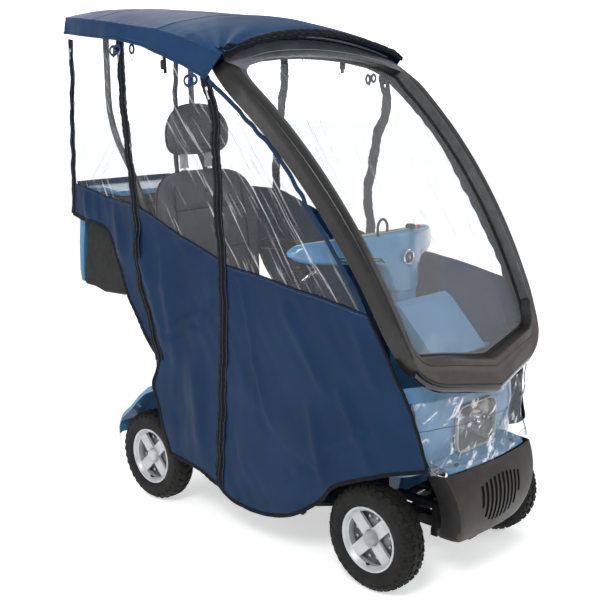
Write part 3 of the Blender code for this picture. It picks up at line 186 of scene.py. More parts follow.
def clear(name, tint, haze, painted_highlight_streak, rough, turned=(0.0, 0.0, 0.0), lines=(1.0, 1.0, 1.0), spec=0.5,
          band=(0.56, 0.68),
          crumple=(9.0, 0.15)):
    """A clear sheet with a slight haze and soft slanting painted highlight streaks: opaque white streaks in
    its alpha that stand in for light reflected by the crinkled sheet.
    """
    look = bpy.data.materials.new(name)
    look.use_nodes = True
    tree = look.node_tree
    shader = tree.nodes["Principled BSDF"]
    shader.inputs["Base Color"].default_value = (*tint, 1.0)
    shader.inputs["Specular IOR Level"].default_value = spec
    coords = put(tree, "ShaderNodeTexCoord")
    turn = put(tree, "ShaderNodeMapping", {"Rotation": turned})
    mapping = put(tree, "ShaderNodeMapping", {"Scale": lines})
    tree.links.new(coords.outputs["Object"], turn.inputs["Vector"])
    tree.links.new(turn.outputs["Vector"], mapping.inputs["Vector"])
    cloud = put(tree, "ShaderNodeTexNoise", {"Scale": 1.6, "Detail": 5.0, "Roughness": 0.66,
                                             "Distortion": 0.5})
    tree.links.new(mapping.outputs["Vector"], cloud.inputs["Vector"])
    # the streak share of the alpha is painted highlight: opaque white streaks where the sheet would reflect
    # light
    tree.links.new(remap(tree, cloud.outputs["Fac"], haze, haze + painted_highlight_streak, *band), shader.inputs["Alpha"])
    broad = put(tree, "ShaderNodeTexNoise", {"Scale": crumple[0], "Detail": 3.0})
    tree.links.new(coords.outputs["Object"], broad.inputs["Vector"])
    tree.links.new(remap(tree, broad.outputs["Fac"], rough * 0.7, rough * 1.4), shader.inputs["Roughness"])
    relief = put(tree, "ShaderNodeBump", {"Strength": crumple[1], "Distance": 0.002})
    tree.links.new(broad.outputs["Fac"], relief.inputs["Height"])
    tree.links.new(relief.outputs["Normal"], shader.inputs["Normal"])
    look.surface_render_method = "BLENDED"
    return look


NAVY = finish("navy fabric", (0.003, 0.0185, 0.052), (0.0048, 0.024, 0.066), 0.55, 5.0, 150.0, 0.25, 0.0004,
              pattern="weave", Specular_IOR_Level=0.14)
# Roof top and valance are one cloth: the top colour is a lighter copy (painted top light), the valance colour
# a darker copy (painted shade).
ROOF = finish("roof fabric with painted top light", (0.006, 0.042, 0.116), (0.0085, 0.052, 0.14), 0.55, 5.0, 150.0, 0.25, 0.0004,
              pattern="weave", Specular_IOR_Level=0.16)
VALANCE = finish("roof fabric with painted shade", (0.004, 0.027, 0.078), (0.006, 0.034, 0.094), 0.55, 5.0, 150.0, 0.25,
                 0.0004,
                 pattern="weave", Specular_IOR_Level=0.14)
BINDING = finish("black binding", (0.0025, 0.003, 0.004), (0.006, 0.007, 0.009), 0.66, 60.0, 260.0, 0.5,
                 0.0006,
                 pattern="weave", Specular_IOR_Level=0.12)
COIL = finish("zip coil", (0.006, 0.007, 0.009), (0.016, 0.018, 0.022), 0.42, 220.0, 800.0, 0.3)
THREAD = finish("stitch thread", (0.045, 0.07, 0.13), (0.08, 0.11, 0.18), 0.6, 90.0, 900.0, 0.4)
STRAP = finish("blue strap", (0.006, 0.03, 0.085), (0.01, 0.042, 0.115), 0.6, 50.0, 240.0, 0.5,
               pattern="weave")
# The clear sheets below carry painted highlight streaks: opaque white streaks in their alpha stand in for
# reflections.
VINYL = clear("clear vinyl", (0.92, 0.95, 0.98), 0.02, 0.26, 0.12, (-0.95, 0.0, 0.0), (1.0, 1.8, 40.0), 0.3,
              (0.57, 0.7))
REAR_VINYL = clear("rear clear vinyl", (0.92, 0.95, 0.98), 0.02, 0.22, 0.12, (0.0, 0.95, 0.0),
                   (1.8, 1.0, 40.0), 0.3,
                   (0.58, 0.7))
FILM = clear("front cover film", (0.88, 0.94, 0.98), 0.05, 0.6, 0.08, (0.0, 0.9, 0.0), (10.0, 10.0, 22.0),
             0.8,
             (0.56, 0.66), (42.0, 0.9))
GLASS = clear("windscreen glass", (0.93, 0.96, 0.97), 0.06, 0.05, 0.05, (0.0, 0.4, 0.0), (1.0, 1.0, 1.6), 0.4)
LENS = clear("lamp lens", (0.93, 0.95, 0.97), 0.03, 0.1, 0.05, (0.0, 0.6, 0.0), (8.0, 8.0, 20.0), 0.4)
BLUE = finish("light blue paint", (0.048, 0.168, 0.312), (0.06, 0.19, 0.345), 0.22, 14.0, 260.0, 0.06,
              0.0003, 0.05,
              Specular_IOR_Level=0.35, Coat_Weight=0.45, Coat_Roughness=0.08)
SATIN = finish("dark satin frame", (0.007, 0.0066, 0.0062), (0.012, 0.0112, 0.0104), 0.34, 24.0, 900.0, 0.12,
               0.0004,
               Specular_IOR_Level=0.35, Coat_Weight=0.12, Coat_Roughness=0.2)
# Grey: on the pillars' inner edge this is a painted edge highlight, a lighter copy of the dark satin frame;
# on the front cover stitch it is the thread's colour.
PILLAR_EDGE = finish("grey with painted edge highlight", (0.055, 0.056, 0.058), (0.085, 0.086, 0.089), 0.36, 24.0, 700.0, 0.1)
SILL = finish("brown grey sill", (0.046, 0.038, 0.034), (0.062, 0.052, 0.047), 0.42, 18.0, 900.0, 0.15,
              0.0004,
              Coat_Weight=0.1, Coat_Roughness=0.25)
# Pale satin: on the windscreen header and its ridge this is painted light, a lit copy of the dark satin frame
# for the top light on the inclined header; on bulbs, gauge lamps, pointer and stitch it is their own pale
# colour.
HEADER = finish("pale satin with painted header light", (0.2, 0.21, 0.222), (0.27, 0.282, 0.296), 0.34, 16.0, 500.0, 0.1,
                Metallic=0.35)
PIANO = finish("glossy black", (0.006, 0.006, 0.007), (0.012, 0.012, 0.014), 0.1, 20.0, 200.0, 0.04, 0.0003,
               0.04,
               Coat_Weight=0.8, Coat_Roughness=0.04)
BUMPER = finish("bumper plastic", (0.024, 0.0205, 0.0185), (0.036, 0.031, 0.028), 0.46, 22.0, 1100.0, 0.35,
                0.0005,
                Coat_Weight=0.06, Coat_Roughness=0.3)
PLASTIC = finish("black plastic", (0.005, 0.005, 0.0055), (0.011, 0.011, 0.012), 0.52, 40.0, 1200.0, 0.4,
                 0.0005)
SOFT = finish("soft black", (0.007, 0.007, 0.0075), (0.015, 0.015, 0.016), 0.62, 40.0, 900.0, 0.4, 0.0006,
              pattern="leather")
GREY_PLASTIC = finish("grey plastic", (0.25, 0.258, 0.266), (0.33, 0.34, 0.35), 0.44, 30.0, 1000.0, 0.3)
STEEL = finish("black steel", (0.012, 0.012, 0.013), (0.026, 0.026, 0.028), 0.42, 26.0, 800.0, 0.3, 0.0004,
               Metallic=0.5)
BARE = finish("bare steel", (0.3, 0.3, 0.31), (0.43, 0.43, 0.44), 0.36, 50.0, 500.0, 0.3, 0.0004,
              Metallic=1.0)
TUBE = finish("grey canopy tube", (0.035, 0.036, 0.04), (0.12, 0.122, 0.13), 0.4, 34.0, 400.0, 0.5,
              0.0012,
              Metallic=0.4, stretch=(1.0, 1.0, 0.35))
CHROME = finish("chrome", (0.64, 0.64, 0.65), (0.74, 0.74, 0.75), 0.12, 30.0, 500.0, 0.05, 0.0003, 0.05,
                Metallic=1.0)
ALLOY = finish("silver wheel", (0.42, 0.43, 0.44), (0.5, 0.51, 0.522), 0.42, 30.0, 1200.0, 0.15, 0.0003,
               Metallic=0.35)
DRUM = finish("brake drum", (0.1, 0.103, 0.106), (0.18, 0.184, 0.19), 0.48, 40.0, 500.0, 0.4, 0.0006,
              Metallic=0.6)
RUBBER = finish("tyre rubber", (0.004, 0.0038, 0.0034), (0.01, 0.0092, 0.0082), 0.66, 30.0, 900.0, 0.5,
                0.0007)
SEAL = finish("rubber seal", (0.008, 0.008, 0.008), (0.018, 0.018, 0.018), 0.55, 40.0, 900.0, 0.3)
SEAT = finish("grey upholstery", (0.034, 0.036, 0.04), (0.058, 0.061, 0.067), 0.52, 14.0, 420.0, 0.55,
              0.0006,
              pattern="leather", Coat_Weight=0.08, Coat_Roughness=0.4)
LAMP = finish("lamp bowl", (0.15, 0.125, 0.11), (0.3, 0.262, 0.236), 0.16, 30.0, 200.0, 0.1, 0.0005, 0.06,
              Metallic=0.85)
RED = finish("red lens", (0.3, 0.008, 0.008), (0.42, 0.014, 0.012), 0.16, 30.0, 300.0, 0.3, 0.001, 0.05,
             Coat_Weight=0.6)
RED_PLASTIC = finish("red plastic", (0.33, 0.016, 0.012), (0.45, 0.026, 0.02), 0.36, 40.0, 900.0, 0.3)
CARPET = finish("ribbed mat", (0.012, 0.012, 0.013), (0.028, 0.028, 0.03), 0.8, 60.0, 500.0, 0.7, 0.001)

SLOT_LOOKS = {
    "black_steel": STEEL, "bare_steel": BARE, "grey_tube": TUBE, "black_plastic": PLASTIC,
    "frame_paint": SATIN,
    "body_blue": BLUE, "navy_fabric": NAVY, "clear_glass": GLASS, "clear_film": FILM, "lamp_reflector": LAMP,
    "lamp_lens": LENS, "red_lens": RED, "rubber": SEAL, "silver_alloy": CHROME, "grey_leather": SEAT,
    "soft_black": SOFT, "red_plastic": RED_PLASTIC,
}

# ---------------------------------------------------------------- mesh helpers


def add_mesh(name, points, faces, look, body="chassis", crease=40.0, outward=True):
    """A mesh in the row frame that moves with a body."""
    points = np.asarray(points, float)
    if outward:
        total = 0.0
        for k in range(1, max(len(f) for f in faces) - 1):
            pick = [(f[0], f[k], f[k + 1]) for f in faces if len(f) > k + 1]
            tri = points[np.array(pick)]
            total += float(np.einsum("ij,ij->i", tri[:, 0], np.cross(tri[:, 1], tri[:, 2])).sum())
        if total < 0:
            faces = [tuple(reversed(f)) for f in faces]
    mesh = bpy.data.meshes.new(name)
    mesh.from_pydata(points.tolist(), [], [tuple(f) for f in faces])
    mesh.materials.append(look)
    obj = bpy.data.objects.new(name, mesh)
    bpy.context.scene.collection.objects.link(obj)
    shade(obj, crease)
    if body:
        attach(obj, body)
    return obj


def shade(obj, crease=40.0):
    """Smooth shading with sharp edges kept."""
    obj.data.polygons.foreach_set("use_smooth", [True] * len(obj.data.polygons))
    obj.data.set_sharp_from_angle(angle=math.radians(crease))
    obj.data.update()


def loft(name, rings, look, closed=False, body="chassis", crease=40.0):
    """A skin over rings with the same number of points."""
    count = len(rings[0])
    points = np.concatenate([np.asarray(ring, float) for ring in rings])
    faces = []
    for i in range(len(rings) if closed else len(rings) - 1):
        a, b = i * count, (i + 1) % len(rings) * count
        for j in range(count):
            k = (j + 1) % count
            faces.append((a + j, a + k, b + k, b + j))
    if not closed:
        faces.append(tuple(reversed(range(count))))
        faces.append(tuple(range((len(rings) - 1) * count, len(rings) * count)))
    return add_mesh(name, points, faces, look, body, crease)


def lathe(name, profile, look, centre, axis="x", segments=48, flip=False, closed=True, body="chassis",
          crease=40.0):
    """A turned piece from a profile of (along the axis, radius)."""
    points, faces, rings = [], [], []
    sign = -1.0 if flip else 1.0
    for along, radius in profile:
        turns = 1 if radius == 0 else segments
        rings.append((len(points), turns))
        for i in range(turns):
            a = 2 * math.pi * i / segments
            u, v, w = sign * along, radius * math.cos(a), radius * math.sin(a)
            local = {"x": (u, v, w), "y": (v, u, w), "z": (v, w, u)}[axis]
            points.append(tuple(np.add(centre, local)))
    for i in range(len(rings) if closed else len(rings) - 1):
        a, a_turns = rings[i]
        b, b_turns = rings[(i + 1) % len(rings)]
        for j in range(segments):
            k = (j + 1) % segments
            if a_turns == 1 and b_turns == 1:
                break
            if a_turns == 1:
                faces.append((a, b + k, b + j))
            elif b_turns == 1:
                faces.append((a + j, a + k, b))
            else:
                faces.append((a + j, a + k, b + k, b + j))
    return add_mesh(name, points, faces, look, body, crease)


def smooth_path(points, steps=4, closed=False):
    """A smooth curve through every given point."""
    points = np.asarray(points, float)
    count = len(points)
    out = []
    for i in range(count if closed else count - 1):
        if closed:
            p0, p1, p2, p3 = (points[(i + k) % count] for k in (-1, 0, 1, 2))
        else:
            p0, p1, p2, p3 = points[max(i - 1, 0)], points[i], points[i + 1], points[min(i + 2, count - 1)]
        for s in range(steps):
            t = s / steps
            out.append(0.5 * (2 * p1 + (p2 - p0) * t + (2 * p0 - 5 * p1 + 4 * p2 - p3) * t**2
                              + (3 * p1 - p0 - 3 * p2 + p3) * t**3))
    if not closed:
        out.append(points[-1])
    return np.array(out)


def resample(points, count):
    """The same path with an even count of points."""
    points = np.asarray(points, float)
    length = np.concatenate([[0.0], np.cumsum(np.linalg.norm(np.diff(points, axis=0), axis=1))])
    at = np.linspace(0.0, length[-1], count)
    return np.column_stack([np.interp(at, length, points[:, k]) for k in range(points.shape[1])])


def spaced(points, step):
    """The same path with points an even step apart."""
    points = np.asarray(points, float)
    length = float(np.linalg.norm(np.diff(points, axis=0), axis=1).sum())
    return resample(points, max(int(length / step) + 1, 3))


def frames(path, closed=False, normal=None):
    """Tangents, normals and side directions along a path."""
    path = np.asarray(path, float)
    ahead = np.roll(path, -1, axis=0) - np.roll(path, 1, axis=0)
    if not closed:
        ahead[0], ahead[-1] = path[1] - path[0], path[-1] - path[-2]
    ahead = ahead / np.linalg.norm(ahead, axis=1, keepdims=True)
    ups = []
    up = None if normal is None else np.asarray(normal, float)
    for i, t in enumerate(ahead):
        if normal is not None:
            up = np.asarray(normal if np.ndim(normal) == 1 else normal[i], float)
        elif up is None:
            up = np.cross(t, (0.0, 0.0, 1.0) if abs(t[2]) < 0.9 else (1.0, 0.0, 0.0))
        up = up - t * np.dot(up, t)
        up = up / np.linalg.norm(up)
        ups.append(up)
    ups = np.array(ups)
    return ahead, ups, np.cross(ahead, ups)


def tube(name, path, radius, look, sides=12, closed=False, body="chassis", flat=1.0):
    """A round bar along a path."""
    path = np.asarray(path, float)
    _, up, side = frames(path, closed)
    radii = np.broadcast_to(np.asarray(radius, float), (len(path),))
    angle = 2 * math.pi * (np.arange(sides) + 0.5) / sides
    rings = [p + r * (np.cos(angle)[:, None] * u + flat * np.sin(angle)[:, None] * s)
             for p, r, u, s in zip(path, radii, up, side)]
    return loft(name, rings, look, closed, body, 50.0)


def band(name, path, normal, width, thick, look, closed=False, body="chassis"):
    """A flat soft-edged strip along a path, lying against the normal."""
    path = np.asarray(path, float)
    _, up, side = frames(path, closed, normal)
    widths = np.broadcast_to(np.asarray(width, float), (len(path),))
    section = [(-0.5, 0.0), (-0.46, 0.42), (-0.2, 0.5), (0.2, 0.5), (0.46, 0.42), (0.5, 0.0),
               (0.46, -0.42), (0.2, -0.5), (-0.2, -0.5), (-0.46, -0.42)]
    rings = [[p + s * a * w + u * b * thick for a, b in section] for p, w, u,
             s in zip(path, widths, up, side)]
    return loft(name, rings, look, closed, body, 60.0)


def inset(outline, amount):
    """An outline moved inwards by an amount."""
    outline = np.asarray(outline, float)
    ahead = np.roll(outline, -1, axis=0) - outline
    ahead = ahead / np.linalg.norm(ahead, axis=1, keepdims=True)
    behind = np.roll(ahead, 1, axis=0)
    normal = np.column_stack([-(ahead[:, 1] + behind[:, 1]), ahead[:, 0] + behind[:, 0]])
    length = np.linalg.norm(normal, axis=1, keepdims=True)
    return outline + normal / length * amount / np.clip(length / 2, 0.5, 1.0)


def rounded(width, height, radius, steps=5, centre=(0.0, 0.0)):
    """A rectangle with round corners."""
    out = []
    for corner, (sx, sy) in enumerate(((1, 1), (-1, 1), (-1, -1), (1, -1))):
        for i in range(steps + 1):
            a = math.pi / 2 * (corner + i / steps)
            out.append((centre[0] + sx * (width / 2 - radius) + radius * math.cos(a),
                        centre[1] + sy * (height / 2 - radius) + radius * math.sin(a)))
    return out


def placed(outline, plane, depth):
    """A flat outline set into the xz, yz or xy plane at a depth."""
    order = {"xy": (0, 1, 2), "xz": (0, 2, 1), "yz": (1, 2, 0)}[plane]
    out = np.zeros((len(outline), 3))
    out[:, order[0]] = [p[0] for p in outline]
    out[:, order[1]] = [p[1] for p in outline]
    out[:, order[2]] = depth
    return out


def prism(name, outline, plane, low, high, look, edge=0.0015, body="chassis", crease=40.0):
    """A flat outline extruded, with eased edges."""
    levels = [(inset(outline, edge), low), (inset(outline, edge * 0.3), low + edge * 0.3),
              (outline, low + edge),
              (outline, high - edge), (inset(outline, edge * 0.3), high - edge * 0.3),
              (inset(outline, edge), high)]
    return loft(name, [placed(o, plane, d) for o, d in levels], look, False, body, crease)


def block(name, low, high, look, edge=0.0015, body="chassis"):
    """A box with eased edges, from its two corners."""
    outline = [(low[0], low[1]), (high[0], low[1]), (high[0], high[1]), (low[0], high[1])]
    return prism(name, outline, "xy", low[2], high[2], look, edge, body)


def sheet_grid(name, grid, thick, look, body="chassis", crease=70.0):
    """A closed sheet of even thickness on a grid of points."""
    grid = np.asarray(grid, float)
    rows, cols = grid.shape[:2]
    normal = np.cross(np.gradient(grid, axis=0), np.gradient(grid, axis=1))
    normal = normal / np.linalg.norm(normal, axis=2, keepdims=True)
    points = np.concatenate([(grid + normal * thick / 2).reshape(-1, 3),
                             (grid - normal * thick / 2).reshape(-1, 3)])
    half = rows * cols
    faces = []
    for i in range(rows - 1):
        for j in range(cols - 1):
            a = i * cols + j
            quad = (a, a + 1, a + cols + 1, a + cols)
            faces.append(quad)
            faces.append(tuple(half + k for k in reversed(quad)))
    border = [(0, j) for j in range(cols)] + [(i, cols - 1) for i in range(1, rows)]
    border += [(rows - 1, j) for j in range(cols - 2, -1, -1)] + [(i, 0) for i in range(rows - 2, 0, -1)]
    for n, (i, j) in enumerate(border):
        k, m = border[(n + 1) % len(border)]
        a, b = i * cols + j, k * cols + m
        faces.append((b, a, half + a, half + b))
    return add_mesh(name, points, faces, look, body, crease)


def carve(obj, tools, operation="DIFFERENCE", crease=40.0):
    """Cuts made into a piece with other closed meshes."""
    for tool in tools:
        modifier = obj.modifiers.new("carve", "BOOLEAN")
        modifier.operation = operation
        modifier.solver = "EXACT"
        modifier.object = tool
    bpy.context.view_layer.update()
    mesh = bpy.data.meshes.new_from_object(obj.evaluated_get(bpy.context.evaluated_depsgraph_get()))
    obj.modifiers.clear()
    obj.data = mesh
    shade(obj, crease)
    for tool in tools:
        bpy.data.objects.remove(tool)
    return obj


def soften(obj, width=0.0015, segments=2, angle=35.0):
    """Rounded edges on a hard piece."""
    modifier = obj.modifiers.new("soft edges", "BEVEL")
    modifier.width = width
    modifier.segments = segments
    modifier.limit_method = "ANGLE"
    modifier.angle_limit = math.radians(angle)
    modifier.use_clamp_overlap = True
    return obj


def ease(t):
    """A smooth step from 0 to 1."""
    t = np.clip(t, 0.0, 1.0)
    return t * t * (3 - 2 * t)


# ---------------------------------------------------------------- shape of the cabin

HEIGHTS = (0.1, 0.45, 0.75, 1.12, 1.3, 1.45, 1.64, 1.8)
PLACES = (-1.0, -0.75, -0.45, -0.1, 0.41, 0.65, 0.86, 1.0)
WIDTHS = (
    (0.25, 0.26, 0.3, 0.37, 0.39, 0.41, 0.43, 0.43),
    (0.34, 0.34, 0.35, 0.375, 0.395, 0.415, 0.435, 0.435),
    (0.365, 0.37, 0.375, 0.385, 0.4, 0.42, 0.437, 0.437),
    (0.365, 0.37, 0.37, 0.368, 0.388, 0.42, 0.437, 0.437),
    (0.365, 0.37, 0.36, 0.349, 0.368, 0.388, 0.41, 0.41),
    (0.365, 0.36, 0.34, 0.305, 0.31, 0.325, 0.335, 0.335),
    (0.3, 0.3, 0.3, 0.272, 0.27, 0.268, 0.272, 0.272),
    (0.25, 0.25, 0.25, 0.24, 0.235, 0.23, 0.232, 0.232),
)


def roof_half_width(y):
    """Half the roof's width along its length."""
    places = (-0.174, -0.1, 0.022, 0.156, 0.3, 0.476, 0.65, 0.8, 0.931)
    return np.interp(y, places, (0.434, 0.434, 0.431, 0.424, 0.412, 0.39, 0.345, 0.3, 0.252))


def roof_edge_z(y):
    """Height of the roof's side crease."""
    return np.interp(y, (-0.174, 0.022, 0.156, 0.476, 0.931), (1.605, 1.665, 1.694, 1.733, 1.77))


def roof_crown_z(y):
    """Height of the roof on the centre line."""
    return np.interp(y, (-0.17, -0.1, 0.1, 0.4, 0.6, 0.85, 0.935),
                     (1.68, 1.706, 1.748, 1.78, 1.793, 1.806, 1.8))


def roof_hem_z(y):
    """Height of the valance's hem."""
    return np.interp(y, (-0.103, -0.007, 0.11, 0.251, 0.412, 0.928),
                     (1.532, 1.569, 1.606, 1.644, 1.669, 1.711))


def screen_y(z):
    """The windscreen's arc: y at a height."""
    return SCREEN_ARC[0] - math.sqrt(SCREEN_ARC[2] ** 2 - (z - SCREEN_ARC[1]) ** 2)


def raw_width(y, z):
    """The cabin's half width read from its table, before smoothing."""
    rows = np.array([np.interp(z, HEIGHTS, w) for w in WIDTHS])
    at = np.clip(np.interp(y, PLACES, np.arange(8)), 0, 6.9999)
    low = at.astype(int)
    t = at - low
    n = np.arange(len(y))
    return rows[low, n] * (1 - t) + rows[low + 1, n] * t


def cabin_width(y, z):
    """The cabin's half width at each y and z."""
    y, z = np.atleast_1d(np.asarray(y, float)), np.atleast_1d(np.asarray(z, float))
    wide = sum(raw_width(y + a, z + b) for a in (-0.06, -0.03, 0, 0.03, 0.06)
               for b in (-0.06, -0.03, 0, 0.03, 0.06)) / 25
    wide = np.where(z > 1.0, wide, np.minimum(wide, raw_width(y, z) + 0.002))
    t = ease((z - 1.44) / 0.08)
    return wide * (1 - t) + np.minimum(wide, roof_half_width(y) - 0.009) * t


# folds of the curtain: start, end, half width, height
FOLDS = (
    ((0.215, 0.65), (0.099, 0.726), 0.011, -0.0045),
    ((0.205, 0.67), (0.09, 0.748), 0.012, 0.0035),
    ((0.099, 0.724), (0.046, 0.712), 0.01, -0.004),
    ((0.046, 0.712), (-0.045, 0.802), 0.011, -0.005),
    ((0.06, 0.735), (-0.03, 0.82), 0.013, 0.0035),
    ((-0.215, 0.62), (-0.25, 0.5), 0.012, -0.004),
    ((-0.25, 0.5), (-0.315, 0.36), 0.013, -0.004),
    ((-0.235, 0.6), (-0.29, 0.42), 0.016, 0.003),
    ((-0.61, 0.64), (-0.735, 0.4), 0.016, -0.0045),
    ((-0.58, 0.64), (-0.7, 0.38), 0.02, 0.004),
    ((0.43, 1.02), (0.316, 0.806), 0.024, 0.006),
    ((0.316, 0.806), (0.23, 0.6), 0.024, 0.005),
    ((0.35, 1.04), (0.29, 0.88), 0.02, -0.005),
    ((0.26, 0.99), (0.18, 0.56), 0.03, 0.005),
    ((0.18, 1.0), (0.13, 0.82), 0.024, -0.004),
    ((-0.14, 0.9), (-0.195, 0.74), 0.014, -0.0045),
    ((-0.195, 0.74), (-0.2, 0.56), 0.014, -0.0045),
    ((-0.165, 0.9), (-0.225, 0.6), 0.018, 0.004),
    ((-0.4, 0.86), (-0.56, 0.64), 0.018, -0.005),
    ((-0.37, 0.84), (-0.53, 0.61), 0.02, 0.004),
    ((-0.24, 0.48), (-0.385, 0.3), 0.014, -0.004),
    ((-0.29, 0.385), (-0.48, 0.335), 0.012, -0.0035),
    ((-0.54, 0.39), (-0.83, 0.53), 0.016, -0.0045),
    ((-0.52, 0.42), (-0.8, 0.56), 0.018, 0.0035),
    ((0.08, 0.6), (0.06, 0.25), 0.03, 0.005),
    ((0.16, 0.56), (0.17, 0.24), 0.024, -0.0045),
    ((-0.09, 0.52), (-0.11, 0.2), 0.026, -0.004),
    ((0.56, 1.08), (0.5, 0.9), 0.026, 0.005),
    ((0.7, 1.1), (0.64, 1.0), 0.022, -0.004),
    ((0.82, 1.11), (0.78, 1.01), 0.022, 0.0035),
    ((-0.64, 0.84), (-0.72, 0.64), 0.018, 0.004),
    ((-0.47, 0.56), (-0.52, 0.3), 0.02, 0.004),
)

ZIP_A = [(0.395, 1.668), (0.396, 1.6), (0.401, 1.447), (0.41, 1.298), (0.407, 1.118), (0.392, 0.99),
         (0.373, 0.805), (0.317, 0.693), (0.276, 0.557)]
ZIP_B = [(-0.088, 1.545), (-0.108, 1.422), (-0.087, 1.319), (-0.065, 1.118), (-0.08, 0.933), (-0.079, 0.739),
         (-0.07, 0.621), (-0.034, 0.165)]
CORNER = [(0.914, 1.69), (0.918, 1.52), (0.932, 1.3), (0.938, 1.155), (0.945, 1.018)]
SILL_REAR = [(0.938, 1.139), (0.867, 1.136), (0.719, 1.124), (0.626, 1.11), (0.445, 1.104), (0.406, 1.1)]
SILL_MID = [(0.406, 1.1), (0.365, 1.093), (0.174, 1.03), (0.038, 0.989), (-0.056, 0.962), (-0.077, 0.955)]
SILL_FRONT = [(-0.077, 0.955), (-0.1, 0.945), (-0.261, 0.933), (-0.437, 0.91), (-0.52, 0.899),
              (-0.671, 0.874),
              (-0.697, 0.866)]
HEM_MID = [(-0.034, 0.165), (-0.003, 0.175), (0.098, 0.203), (0.237, 0.217)]
REAR_LOW = [(0.237, 0.217), (0.262, 0.3), (0.293, 0.386), (0.318, 0.456), (0.296, 0.51), (0.276, 0.557)]
REAR_HIGH = [(0.276, 0.557), (0.377, 0.665), (0.467, 0.765), (0.523, 0.869), (0.57, 0.941), (0.627, 0.983),
             (0.722, 1.003), (0.828, 1.007), (0.945, 1.018)]
TOP_REAR = [(0.395, 1.668), (0.412, 1.675), (0.65, 1.688), (0.914, 1.69)]
TOP_MID = [(-0.088, 1.545), (-0.06, 1.556), (0.11, 1.612), (0.251, 1.65), (0.395, 1.668)]
FRONT_HIGH = [(-0.697, 0.866), (-0.655, 0.945), (-0.575, 1.06), (-0.48, 1.188), (-0.38, 1.315),
              (-0.24, 1.44),
              (-0.1, 1.54), (-0.088, 1.545)]


def front_low(tuck):
    """Front edge of the curtain below the windscreen frame."""
    return [(-0.871 + tuck, 0.422), (-0.852 + tuck, 0.505), (-0.823 + tuck * 0.7, 0.61),
            (-0.785 + tuck * 0.3, 0.69),
            (-0.735, 0.79), (-0.697, 0.866)]


def hem_front(tuck):
    """Hem of the front panel, over the wheel."""
    return [(-0.871 + tuck, 0.422), (-0.762, 0.394), (-0.638, 0.345), (-0.555, 0.305), (-0.496, 0.24),
            (-0.374, 0.161), (-0.232, 0.125), (-0.099, 0.132), (-0.034, 0.165)]


def near_line(y, z, line):
    """Distance to a broken line and how far along it the nearest point lies."""
    line = np.asarray(line, float)
    best, where, start = np.full(len(y), 9.0), np.zeros(len(y)), 0.0
    for a, b in zip(line[:-1], line[1:]):
        step = b - a
        size = float(np.hypot(*step))
        t = np.clip(((y - a[0]) * step[0] + (z - a[1]) * step[1]) / size**2, 0, 1)
        d = np.hypot(y - a[0] - t * step[0], z - a[1] - t * step[1])
        where = np.where(d < best, start + t * size, where)
        best = np.minimum(best, d)
        start += size
    return best, where


def cloth_relief(side, y, z, vinyl=False):
    """How far the curtain stands out from its even shape."""
    turn = 0.0 if side < 0 else 1.9
    low = 0.0016 * np.sin(21 * y + 9 * z + 1.3 + turn) + 0.0013 * np.sin(15 * y - 27 * z + 0.4 + turn * 2)
    low = low + 0.0009 * np.sin(38 * z + 8 * y + turn)
    if vinyl:
        low = low * 0.8 + 0.001 * np.sin(60 * (y * 0.8 + z * 0.6) + 2 * np.sin(9 * z))
    out = low
    if not vinyl:
        patch = ease(np.sin(7 * y + 3.1 * z + turn) * np.sin(5 * z - 4 * y + 1.1) + 0.45)
        out = out + 0.0013 * patch * np.sin(62 * (0.55 * y + z) + 3.5 * np.sin(9 * y + 4 * z))
        out = out + 0.0009 * (1 - patch) * np.sin(88 * (y - 0.35 * z) + 3.0 * np.sin(13 * z))
        for (a, b, width, height) in FOLDS:
            a, b = np.array(a), np.array(b)
            if side > 0:
                a, b = a + (0.03, -0.02), b + (0.01, 0.02)
            step = b - a
            t = ((y - a[0]) * step[0] + (z - a[1]) * step[1]) / float(step @ step)
            d = np.hypot(y - a[0] - t * step[0], z - a[1] - t * step[1])
            taper = ease((t + 0.15) / 0.4) * ease((1.15 - t) / 0.4)
            out = out + FOLD_STRENGTH * height * np.exp(-((d / width) ** 2)) * taper
        out = np.maximum(out, DEEPEST_FOLD)
    for line, size, wave in ((ZIP_A, 0.0011, 0.021), (ZIP_B, 0.0011, 0.023), (SILL_MID, 0.0007, 0.017),
                             (SILL_FRONT, 0.0007, 0.019), (REAR_HIGH, 0.0012, 0.024),
                             (HEM_MID, 0.0012, 0.026)):
        d, s = near_line(y, z, line)
        out = out + size * np.exp(-d / 0.022) * np.sin(2 * math.pi * s / wave + 3 * np.sin(s * 17))
    return out


def cloth_points(side, flat, off=0.0, vinyl=False):
    """Points of a flat cutting pattern laid on the cabin's side."""
    flat = np.asarray(flat, float)
    y, z = flat[:, 0], flat[:, 1]
    x = cabin_width(y, z) + cloth_relief(side, y, z, vinyl) + off
    return np.column_stack([side * x, y, z])


def inside(points, outline):
    """Which points lie inside an outline."""
    result = np.zeros(len(points), bool)
    outline = np.asarray(outline, float)
    for (ax, ay), (bx, by) in zip(outline, np.roll(outline, -1, axis=0)):
        cross = (points[:, 1] < ay) != (points[:, 1] < by)
        with np.errstate(divide="ignore", invalid="ignore"):
            edge = ax + (points[:, 1] - ay) * (bx - ax) / (by - ay)
        result ^= cross & (points[:, 0] < edge)
    return result


def outline_of(*lines):
    """One closed outline through lines that meet end to end. A line is turned round where it must be."""
    out = [tuple(p) for p in lines[0]]
    if out[-1] not in (tuple(lines[1][0]), tuple(lines[1][-1])):
        out.reverse()
    for line in lines[1:]:
        line = [tuple(p) for p in line]
        if line[0] != out[-1]:
            line.reverse()
        out += line[1:]
    return out[:-1]


